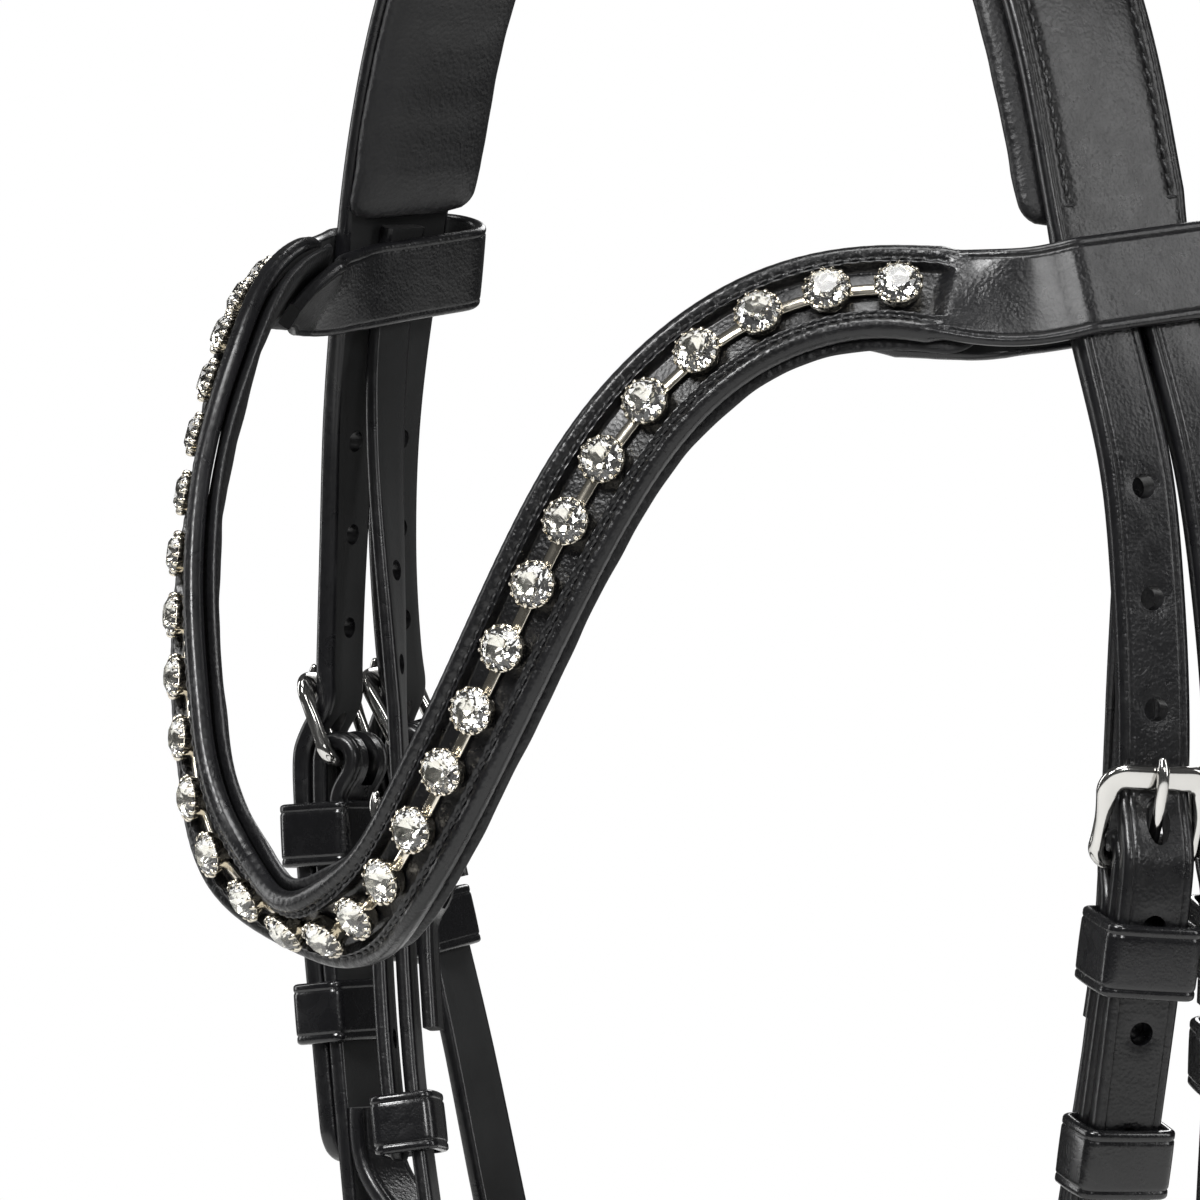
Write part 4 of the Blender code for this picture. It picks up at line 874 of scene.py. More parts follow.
def tube_object(name, P, radius, sides, mat, mirror=False, closed=False, ball=True):
    P = np.asarray(P, float)
    radius = np.broadcast_to(np.asarray(radius, float), (len(P),)).copy()
    if not closed and ball:
        # Round both ends off.
        head, hr, tail, tr = [], [], [], []
        t0, t1 = unit(P[0] - P[1]), unit(P[-1] - P[-2])
        for a in (80, 60, 40, 20):
            q = math.radians(a)
            head.append(P[0] + t0 * radius[0] * 0.8 * math.sin(q))
            hr.append(radius[0] * math.cos(q))
            tail.insert(0, P[-1] + t1 * radius[-1] * 0.8 * math.sin(q))
            tr.insert(0, radius[-1] * math.cos(q))
        P = np.concatenate([head, P, tail])
        radius = np.r_[hr, radius, tr]
    rings = tube_rings(P, radius, sides, closed=closed)
    v, f = loft([np.asarray(x) for x in rings], closed)
    if mirror:
        v, f = flip_x(v), [tuple(reversed(q)) for q in f]
    return add_object(name, v, f, [mat], angle=60)


def stitch_row(name, track, s0, s1, w, n, pitch, mirror=False, length=0.72, r=0.3, height=0.16, tilt=0.12, n_of=None):
    """Saddle stitches: each is a short bowed thread, its ends pulled down into the leather."""
    verts, faces = [], []
    sides = 6
    count = max(1, int((s1 - s0) / pitch))
    hl = pitch * length / 2
    for i in range(count):
        s = s0 + (i + 0.5) * pitch
        pts = []
        base = n if n_of is None else n_of(s)
        for q in (-1.0, -0.72, -0.25, 0.25, 0.72, 1.0):
            lift = height * (1 - abs(q) ** 3) - 0.42 * abs(q) ** 3
            pts.append(track.pos(float(s + q * hl), w + tilt * q, base + lift))
        rings = tube_rings(pts, [r * 0.6, r, r * 1.05, r * 1.05, r, r * 0.6], sides)
        base_i = len(verts)
        for ring in rings:
            verts.extend(ring)
        for f in ring_faces(len(rings), sides):
            faces.append(tuple(base_i + j for j in f))
        faces.append(tuple(base_i + j for j in range(sides - 1, -1, -1)))
        faces.append(tuple(base_i + (len(rings) - 1) * sides + j for j in range(sides)))
    verts = np.array(verts)
    if mirror:
        verts, faces = flip_x(verts), [tuple(reversed(q)) for q in faces]
    return add_object(name, verts, faces, [MAT_THREAD])


SLOT = {"leather": "leather", "lining": "lining", "steel": "steel", "crystal": "crystal"}


def put(ob, body, slot, *nodes):
    if nodes:
        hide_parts(*nodes)
    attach(ob, body)
    return ob


# ------------------------------------------------------------------ shared small shapes
def flipped(data, mirror):
    v, f = data
    return (flip_x(v), [tuple(reversed(q)) for q in f]) if mirror else (np.asarray(v), f)


def lathe(prof, sides, turn=0.0):
    """Profile of (radius, height) turned about the third axis."""
    a = np.arange(sides) * 2 * math.pi / sides + turn
    verts = np.concatenate([np.stack([r * np.cos(a), r * np.sin(a), np.full(sides, h)], 1) for r, h in prof])
    faces = ring_faces(len(prof), sides)
    faces += [tuple(range(sides - 1, -1, -1)), tuple((len(prof) - 1) * sides + j for j in range(sides))]
    return verts, faces


def placed(local, p, a, b, c):
    return p + local[:, :1] * a + local[:, 1:2] * b + local[:, 2:] * c


def threads(name, lines, r, mirror=False, mat=None):
    """Many short bowed threads as one mesh."""
    verts, faces = [], []
    for pts in lines:
        rings = tube_rings(pts, np.r_[r * 0.6, np.full(len(pts) - 2, r), r * 0.6], 6)
        b = len(verts)
        for ring in rings:
            verts.extend(ring)
        faces += [tuple(b + j for j in f) for f in ring_faces(len(rings), 6)]
        faces += [tuple(b + j for j in range(5, -1, -1)), tuple(b + (len(rings) - 1) * 6 + j for j in range(6))]
    v, f = flipped((np.array(verts), faces), mirror)
    return add_object(name, v, f, [mat or MAT_THREAD])


def cross_stitches(name, track, at, w0, w1, n, out, mirror, pitch=2.1):
    """Lines of stitches across a strap, on the side that out (+1 or -1) points to."""
    lines = []
    for s in at:
        count = int((w1 - w0 - 2.4) / pitch)
        for i in range(count):
            w = (w0 + w1) / 2 + (i - (count - 1) / 2) * pitch
            lines.append([track.pos(float(s + 0.1 * q), w + q * pitch * 0.36, n + out * (0.2 * (1 - abs(q) ** 3) - 0.3 * abs(q) ** 3))
                          for q in (-1.0, -0.7, -0.25, 0.25, 0.7, 1.0)])
    return threads(name, lines, 0.27, mirror)


def soft_wave(s, seed, amp):
    rnd = random.Random(seed)
    out = 0.0
    for k in (31.0, 17.0, 9.0):
        out = out + amp * (k / 31.0) * np.sin(2 * math.pi * np.asarray(s) / k + rnd.uniform(0, 6.28))
    return out


def cushion(name, track, st, lo, hi, w0, w1, top, depth, body, node_name, pitch=2.7, power=2.7, taper=10.0, closed_tip=0.45, seed=3, squeeze=0.0):
    """Padded lining: a full rolled section, drawn in at every stitch of the seam that holds it."""
    st = np.asarray(st)
    k = np.clip(np.minimum(st - lo, hi - st) / taper, 0, 1)
    k = np.sqrt(np.clip(1 - (1 - k) ** 2, 0, 1))
    width = np.broadcast_to(np.asarray(w1 - w0, float), st.shape)
    mid = np.broadcast_to(np.asarray((w0 + w1) / 2, float), st.shape)
    dep = np.broadcast_to(np.asarray(depth, float), st.shape)
    a = np.linspace(0, 2 * math.pi, 45)[:-1]
    cx = np.sign(np.cos(a)) * np.abs(np.cos(a)) ** (2 / power)
    cy = np.sign(np.sin(a)) * np.abs(np.sin(a)) ** (2 / (power * 0.8))
    hw = width / 2 * (closed_tip + (1 - closed_tip) * k) + soft_wave(st, seed, 0.10)
    hd = dep / 2 * (closed_tip + (1 - closed_tip) * k)
    W = mid[:, None] + hw[:, None] * cx[None]
    Nn = (top - dep / 2)[:, None] + hd[:, None] * cy[None] if np.ndim(top) else (top - dep / 2)[:, None] + hd[:, None] * cy[None]
    seam = np.exp(-((cy[None] - 0.55) / 0.35) ** 2) * (np.abs(cx[None]) > 0.6)
    pull = 0.12 + 0.07 * np.cos(2 * math.pi * st / pitch)
    W = W - np.sign(cx)[None] * seam * pull[:, None]
    lower = np.clip(-cy, 0, 1) ** 1.5
    Nn = Nn - lower[None] * soft_wave(st, seed + 1, 0.16)[:, None] - squeeze * lower[None] * (1 - np.abs(cx[None]) ** 2)
    rows = np.stack([W, Nn], -1)
    ob = band_mesh(name, track, st, rows, [MAT_PAD], [0] * len(a), angle=75)
    put(ob, body, "lining", node_name)
    return ob


def keeper_visual(name, track, s, height, w0, w1, n0, n1, t=1.7, mirror=False, gap=0.5, r=1.6, crease=1.7, body=None, node_name=None):
    """Leather loop round a stack of straps, with a pressed line near each edge."""
    p, tt, u, nn = track.frame(s)
    lo_w, hi_w, lo_n, hi_n = w0 - gap - t, w1 + gap + t, n0 - gap - t, n1 + gap + t
    r = r + t * 0.5
    path = []
    corners = ((hi_w - r, lo_n + r, -90), (hi_w - r, hi_n - r, 0), (lo_w + r, hi_n - r, 90), (lo_w + r, lo_n + r, 180))
    for i, (cx, cy, a0) in enumerate(corners):
        for q in range(9):
            a = math.radians(a0 + 90 * q / 8)
            path.append((cx + r * math.cos(a), cy + r * math.sin(a), math.cos(a), math.sin(a)))
        nx, ny, na = corners[(i + 1) % 4]
        a = math.radians(a0 + 90)
        A = np.array([cx + r * math.cos(a), cy + r * math.sin(a)])
        B = np.array([nx + r * math.cos(a), ny + r * math.sin(a)])
        for q in np.linspace(0, 1, 9)[1:-1]:
            c = A + (B - A) * q
            bulge = 0.22 * math.sin(math.pi * q)
            path.append((c[0] + bulge * math.cos(a), c[1] + bulge * math.sin(a), math.cos(a), math.sin(a)))
    h = height / 2
    hs = np.unique(np.r_[np.linspace(-h + 0.6, h - 0.6, 21), [c + d for c in (-h + crease, h - crease) for d in (-0.3, 0, 0.3)]])
    sec = [(x, 0.10 * (1 - (x / h) ** 2) - 0.20 * sum(math.exp(-((x - c) / 0.24) ** 2) for c in (-h + crease, h - crease))) for x in hs]
    sec = [(-h, -0.8), (-h + 0.1, -0.4), (-h + 0.3, -0.12)] + sec + [(h - 0.3, -0.12), (h - 0.1, -0.4), (h, -0.8),
           (h, -t + 0.3), (h - 0.3, -t), (0, -t), (-h + 0.3, -t), (-h, -t + 0.3)]
    rings = []
    for x, y, ca, sa in path:
        o = ca * u + sa * nn
        q = p + x * u + y * nn
        rings.append(np.array([q + a * tt + b * o for a, b in sec]))
    v, f = loft(rings, True)
    v, f = flipped((v, f), mirror)
    ob = add_object(name, v, f, [MAT_SMOOTH], angle=60)
    return put(ob, body, "leather", node_name)


def buckle_visual(name, track, s_b, w, mirror=False, body=None, node_name=None, n_top=1.1, n_low=BAR_N):
    length = BUCKLE_L
    pts, outs, m, mid, along, across = frame_loop(track, s_b, -2.1, w + 2.1, n_top, n_low, length, 12)
    # More points on the straight sides, for the swell of the frame.
    P, O = [], []
    for i in range(len(pts)):
        a, b = pts[i], pts[(i + 1) % len(pts)]
        oa, ob_ = outs[i], outs[(i + 1) % len(pts)]
        P.append(a)
        O.append(oa)
        if np.linalg.norm(b - a) > 1.2:
            for q in np.linspace(0, 1, 9)[1:-1]:
                P.append(a + (b - a) * q)
                O.append(unit(oa + (ob_ - oa) * q))
    sides, rings = 26, []
    ang = np.arange(sides) * 2 * math.pi / sides
    for q, o in zip(P, O):
        h = float((q - mid).dot(along)) / (length / 2)
        flat = float(np.clip(-h, 0, 1)) ** 1.4
        low = float(np.clip((h - 0.35) / 0.4, 0, 1))
        low = low * low * (3 - 2 * low)
        x = float((q - mid).dot(across)) / ((w + 4.2) / 2)
        a = (1.35 + 0.95 * flat) * (1 - low) + BAR_R * low
        b = (1.35 - 0.25 * flat) * (1 - low) + BAR_R * low
        pw = 2.0 + 0.9 * flat
        ca = np.sign(np.cos(ang)) * np.abs(np.cos(ang)) ** (2 / pw)
        sa = np.sign(np.sin(ang)) * np.abs(np.sin(ang)) ** (2 / pw)
        lift = -0.35 * flat * x * x * m
        rings.append(q + lift + (a * ca)[:, None] * o + (b * sa)[:, None] * m)
    v, f = loft(rings, True)
    v, f = flipped((v, f), mirror)
    ob = add_object(name, v, f, [MAT_STEEL], angle=75)
    return put(ob, body, "steel", node_name)


def tongue_visual(name, track, s_b, w, mirror=False, body=None, node_name=None, n_top=1.1, n_low=BAR_N):
    s0, r = s_b + BUCKLE_L, BAR_R + 0.4 + TONGUE_R
    line = []
    for a in np.radians(np.linspace(452, 200, 22)):
        line.append((s0 - r * math.sin(a), n_low - r * math.cos(a)))
    tipn = n_top + 1.1 + 0.35 + TONGUE_R
    line += [(s_b + 11.2, -1.1), (s_b + 7.0, 0.95), (s_b + 3.4, 2.6), (s_b + 0.4, tipn), (s_b - 1.6, tipn + 0.1), (s_b - 3.0, tipn - 0.2)]
    sn = spline([(a, b, 0.0) for a, b in line], 0.45)
    pts = np.array([track.pos(float(a), w / 2, float(b)) for a, b, _ in sn])
    radius = np.full(len(pts), TONGUE_R)
    n_tip = 7
    radius[-n_tip:] = TONGUE_R * (1 - 0.30 * np.linspace(0, 1, n_tip) ** 2)
    ob = tube_object(name, pts, radius, 18, MAT_STEEL, mirror)
    return put(ob, body, "steel", node_name)


# ------------------------------------------------------------------ headpiece
def s_where_z(track, z, half="last"):
    n = len(track.s) // 2
    return float(np.interp(-z, -track.P[n:, 2], track.s[n:]))


def do_crown():
    L = CROWN.s[-1]
    st = np.array(spaced(CROWN, 0.9, 0.0, L, 9.0))
    k = np.clip(np.minimum(st, L - st) / 14, 0, 1)
    w_left, w_right = 3.4, CROWN_W - 3.4
    prof, kinds, face = round_section(0, CROWN_W, CROWN_T, None, 1.1, across=40, creases=[w_left, w_right, 1.7, CROWN_W - 1.7])
    rows = np.repeat(prof[None], len(st), 0)
    fw = prof[face, 0]
    s_stop = L - s_where_z(CROWN, -95.3)
    a, b = s_stop, L - s_stop
    rows[:, face, 1] += 0.32 * (1 - (2 * (fw - CROWN_W / 2) / CROWN_W) ** 2)[None]
    on = ((st > a) & (st < b))[:, None]
    for w in (w_left, w_right):
        wave = (0.26 + 0.17 * np.cos(2 * math.pi * (st - a) / 2.7))[:, None]
        rows[:, face, 1] -= on * wave * np.exp(-((fw - w) / 0.62) ** 2)[None]
    rows[:, face, 1] -= 0.12 * np.exp(-((np.abs(fw - CROWN_W / 2) - (CROWN_W / 2 - 1.7)) / 0.25) ** 2)[None]
    edge = np.minimum(fw, CROWN_W - fw)
    rows[:, face, 1] += on * np.exp(-((edge - 2.0) / 0.8) ** 2)[None] * (0.07 * -np.cos(2 * math.pi * (st - a) / 2.7))[:, None]
    rows[:, face, 1] += 0.10 * np.sin(st / 19.0)[:, None] * np.exp(-((fw - 13.75) / 7) ** 2)[None]
    rows[..., 0] *= ((25.8 + 1.7 * k) / CROWN_W)[:, None]
    t = (BILLET_T + (CROWN_T - BILLET_T) * k)[:, None]
    back = rows[..., 1] < -CROWN_T * 0.5
    rows[..., 1] = np.where(back, rows[..., 1] - (t - CROWN_T), rows[..., 1])
    ob = band_mesh("crown_leather", CROWN, st, rows, [MAT_CROWN, MAT_BACK, MAT_EDGE], kinds)
    put(ob, "headpiece", "leather", "headpiece_strap")
    for i, w in enumerate((w_left, w_right)):
        sew = stitch_row("crown_stitches_%d" % i, CROWN, a, b, w, 0.02, 2.7, r=0.31, length=0.74, tilt=0.14 if i else -0.14)
        put(sew, "headpiece", "leather")
        # A lock stitch set across each end of the row.
        lines = []
        for s in (a - 0.4, b + 0.4):
            lines.append([CROWN.pos(float(s), w + q * 1.0, 0.05 + 0.18 * (1 - q * q)) for q in (-1, -0.5, 0, 0.5, 1)])
        put(threads("crown_stitch_ends_%d" % i, lines, 0.3), "headpiece", "leather")
    lo, hi = 10.6, L - 10.6
    st = np.array(spaced(CROWN, 0.8, lo, hi, 7.0))
    kk = np.minimum(1.0, np.minimum(st - lo, hi - st) / 10.0)
    dep = 4.0 + (PAD_T - 4.0) * np.sqrt(kk)
    cushion("crown_padding", CROWN, st, lo, hi, -2.1, 29.6, np.full(len(st), -CROWN_T - 0.1), dep, "headpiece", "headpiece_padding",
            power=3.0, taper=4.5, closed_tip=0.7)


def do_billets():
    for mirror in (False, True):
        side = "right" if mirror else "left"
        for which in ("front", "rear"):
            tr = billet_track(which)
            w = FRONT_W if which == "front" else REAR_W
            label = "noseband" if which == "front" else "cheek"
            holes = [(s, 1.0) for s in hole_list(which, True) + hole_list(which, False)] + [(S_BAR[which] + 7.4, 2.1)]
            s1 = min(TIP[which], float(tr.s[-1]))
            name = "billet_%s_%s" % (which, side)
            ob = strap_visual(name, tr, 0.0, w, BILLET_T, (MAT_FACE, MAT_BACK, MAT_EDGE), 0.0, s1, ds=0.85, creases=(1.75,), crown=0.16,
                              holes=holes, tips=(0, 7.0), mirror=mirror, r=1.25)
            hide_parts("headpiece_strap", "%s_billet_end_%s" % (label, side))
            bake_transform(ob)


# ------------------------------------------------------------------ browband
def do_browband():
    L = BAND.s[-1]
    plain_from = STONE_PITCH * (STONES - 1) / 2 + 5.4
    st = np.array(spaced(BAND, 0.62, 0.0, L, 6.0))
    d = np.abs(st - L / 2)
    k = np.clip((d - plain_from) / 4, 0, 1)
    k = (k * k * (3 - 2 * k))[:, None]
    prof, kinds, face = round_section(-9, 9, BAND_T, None, 0.95, across=78)
    rows = np.repeat(prof[None], len(st), 0)
    fw = prof[face, 0]
    aw = np.abs(fw)
    q = np.clip((aw - 4.15) / 0.95, 0, 1)
    q = q * q * (3 - 2 * q)
    full = -1.7 + 1.88 * q
    full = full + 0.26 * np.exp(-((aw - 5.0) / 0.38) ** 2) - 0.2 * np.clip((aw - 7.0) / 2.0, 0, 1) ** 2 + 0.42 * np.exp(-((aw - 7.4) / 0.95) ** 2)
    phase = 2 * math.pi * (st - L / 2) / 2.35
    puck = -(0.34 + 0.22 * np.cos(phase))[:, None] * np.exp(-((aw - 5.9) / 0.45) ** 2)[None]
    puck = puck - (0.05 * np.cos(phase))[:, None] * np.exp(-((aw - 7.0) / 0.7) ** 2)[None]
    puck = puck - (0.12 * np.cos(phase))[:, None] * np.exp(-((aw - 5.0) / 0.35) ** 2)[None]
    plain = 0.10 * (1 - (fw / 9) ** 2) - 0.2 * np.exp(-((aw - 7.3) / 0.26) ** 2)
    rows[:, face, 1] += (1 - k) * (full[None] + puck) + k * plain[None]
    back = rows[..., 1] < -BAND_T * 0.6
    rows[..., 1] = np.where(back, rows[..., 1] + k * (BAND_T - LOOP_T), rows[..., 1])
    width = (1 - k) * 1.0 + k * (8.25 / 9)
    rim = (0.02 * np.cos(phase))[:, None] * (1 - k) * np.clip((np.abs(rows[..., 0]) - 7.5) / 1.5, 0, 1)
    rows[..., 0] = rows[..., 0] * width - np.sign(rows[..., 0]) * rim
    left = (BAND_HALF - d)[:, None]
    rows[..., 0] *= np.clip(0.30 + 0.70 * left / 18, 0.30, 1)
    ob = band_mesh("browband_leather", BAND, st, rows, [MAT_FACE, MAT_BACK, MAT_EDGE], kinds)
    put(ob, "browband", "leather", "browband_strap")
    a, b = L / 2 - plain_from + 1, L / 2 + plain_from - 1
    n_stitch = int((b - a) / 2.35)
    a = L / 2 - n_stitch / 2 * 2.35
    b = L / 2 + n_stitch / 2 * 2.35
    for i, w in enumerate((-5.9, 5.9)):
        sew = stitch_row("browband_stitches_%d" % i, BAND, a, b, w, -0.12, 2.35, r=0.29, length=0.74, tilt=0.1 if i else -0.1)
        put(sew, "browband", "leather")
    reach = plain_from + 9
    lo, hi = L / 2 - reach, L / 2 + reach
    st = np.array(spaced(BAND, 0.6, lo, hi, 6.0))
    kk = np.minimum(1.0, np.minimum(st - lo, hi - st) / 12.0)
    dep = (LINING_T + 0.1) * (0.55 + 0.45 * kk)
    cushion("browband_padding", BAND, st, lo, hi, -9.45, 9.45, np.full(len(st), -BAND_T - 0.12), dep, "browband", "browband_lining",
            pitch=2.35, power=2.6, taper=6.0, closed_tip=0.5, seed=9)


def do_stones():
    L = BAND.s[-1]
    rnd = random.Random(11)
    cup_v, cup_f, claw_v, claw_f, gem_v, gem_f, foil_v, foil_f, link_v, link_f = ([] for _ in range(10))

    def add(vs, fs, data):
        v, f = data
        b = len(vs)
        vs.extend(v)
        fs += [tuple(b + j for j in q) for q in f]

    cup = [(2.0, -1.62), (3.15, -1.62), (3.42, -1.3), (3.62, -0.2), (3.86, 0.75), (4.02, 1.1), (4.06, 1.3), (3.9, 1.36), (3.78, 1.15),
           (3.70, 0.9), (3.3, 0.5), (2.6, -0.3), (1.2, -1.25)]
    for i in range(STONES):
        s = L / 2 + (i - (STONES - 1) / 2) * STONE_PITCH
        p, t, u, nn = BAND.frame(s)
        turn = rnd.uniform(0, math.pi / 4)
        lean = rnd.uniform(-0.035, 0.035), rnd.uniform(-0.035, 0.035)
        t2 = unit(t + lean[0] * nn)
        u2 = unit(np.cross(nn, t2))
        n2 = np.cross(t2, u2)
        v, f = lathe(cup, 40)
        add(cup_v, cup_f, (placed(v, p, t2, u2, n2), f))
        # Claws: tapered prongs that rise from the rim and close over the stone.
        for c in range(14):
            a = 2 * math.pi * (c + 0.5) / 14 + turn * 0.2
            rad = np.array([math.cos(a), math.sin(a), 0.0])
            tan = np.array([-math.sin(a), math.cos(a), 0.0])
            line = [(3.86, 0.25, 0.62, 0.25), (4.06, 0.95, 0.60, 0.26), (4.08, 1.45, 0.52, 0.25), (3.92, 1.88, 0.44, 0.22), (3.62, 2.12, 0.36, 0.18),
                    (3.36, 2.25, 0.26, 0.10)]
            rings = []
            for r, h, wd, th in line:
                rings.append(np.array([r * rad + x * wd * 0.85 * tan + np.array([0, 0, h]) + y * th * (0.55 * rad + np.array([0, 0, 0.75]))
                                       for x, y in ((-1, -0.4), (-0.75, 0.8), (0, 1.15), (0.75, 0.8), (1, -0.4), (0, -0.9))]))
            lv, lf = loft(rings)
            add(claw_v, claw_f, (placed(lv, p, t2, u2, n2), lf))
        # Crystal: table, kites, girdle and pavilion.
        g = 16
        A = lambda n, o=0.0: np.arange(n) * 2 * math.pi / n + turn + o
        table = np.stack([2.05 * np.cos(A(8)), 2.05 * np.sin(A(8)), np.full(8, 3.05)], 1)
        kite = np.stack([3.02 * np.cos(A(8, math.pi / 8)), 3.02 * np.sin(A(8, math.pi / 8)), np.full(8, 2.42)], 1)
        gird = np.stack([3.72 * np.cos(A(g)), 3.72 * np.sin(A(g)), np.full(g, 1.55)], 1)
        gird2 = gird - np.array([0, 0, 0.28])
        pav = np.stack([1.75 * np.cos(A(8, math.pi / 8)), 1.75 * np.sin(A(8, math.pi / 8)), np.full(8, -0.22)], 1)
        culet = np.array([[0, 0, -1.2]])
        v = np.concatenate([table, kite, gird, gird2, pav, culet])
        T0, K0, G0, H0, P0, C0 = 0, 8, 16, 32, 48, 56
        f = [tuple(range(8))]
        for j in range(8):
            n1 = (j + 1) % 8
            ga, gb, gc = G0 + 2 * j, G0 + (2 * j + 1) % g, G0 + (2 * j + 2) % g
            f += [(T0 + n1, T0 + j, K0 + j), (K0 + j, T0 + j, K0 + (j - 1) % 8), (K0 + j, ga, gb), (K0 + j, gb, gc), (K0 + (j - 1) % 8, ga, K0 + j)]
            ha, hb, hc = H0 + 2 * j, H0 + (2 * j + 1) % g, H0 + (2 * j + 2) % g
            f += [(gb, ga, ha, hb), (gc, gb, hb, hc)]
            f += [(P0 + j, hb, ha), (P0 + j, hc, hb), (P0 + j, ha, P0 + (j - 1) % 8), (C0, P0 + j, P0 + (j - 1) % 8)]
        add(gem_v, gem_f, (placed(v, p, t2, u2, n2), f))
        fv = np.concatenate([gird2 * np.array([1.0, 1.0, 1.0]), pav, culet]) + np.array([0, 0, -0.05])
        ff = []
        for j in range(8):
            ha, hb, hc = 2 * j, (2 * j + 1) % g, (2 * j + 2) % g
            ff += [(16 + j, hb, ha), (16 + j, hc, hb), (16 + j, ha, 16 + (j - 1) % 8), (24, 16 + j, 16 + (j - 1) % 8)]
        add(foil_v, foil_f, (placed(fv, p, t2, u2, n2), ff))
        if i < STONES - 1:
            sec = [(-1.05, -0.25), (-0.95, -0.4), (0.95, -0.4), (1.05, -0.25), (1.05, 0.1), (0.9, 0.25), (-0.9, 0.25), (-1.05, 0.1)]
            lv, lf = loft([np.array([BAND.pos(float(s + x), w, -0.75 + n) for w, n in sec]) for x in np.linspace(3.1, STONE_PITCH - 3.1, 9)])
            add(link_v, link_f, (lv, lf))
    ob = add_object("stone_cups", cup_v, cup_f, [MAT_SILVER], angle=50)
    put(ob, "browband", "crystal", "stone_chain")
    ob = add_object("stone_claws", claw_v, claw_f, [MAT_SILVER], angle=60)
    put(ob, "browband", "crystal", "stone_chain")
    ob = add_object("stone_links", link_v, link_f, [MAT_SILVER], angle=60)
    put(ob, "browband", "crystal", "stone_chain")
    mesh_ob = add_object("stone_foils", foil_v, foil_f, [MAT_FOIL], smooth=False)
    put(mesh_ob, "browband", "crystal", "stone_chain")
    ob = add_object("stone_crystals", gem_v, gem_f, [MAT_CRYSTAL], smooth=False)
    bm = bmesh.new()
    bm.from_mesh(ob.data)
    bmesh.ops.recalc_face_normals(bm, faces=bm.faces[:])
    bm.to_mesh(ob.data)
    bm.free()
    put(ob, "browband", "crystal", "stone_chain")


# ------------------------------------------------------------------ sides
LEATHERS = None


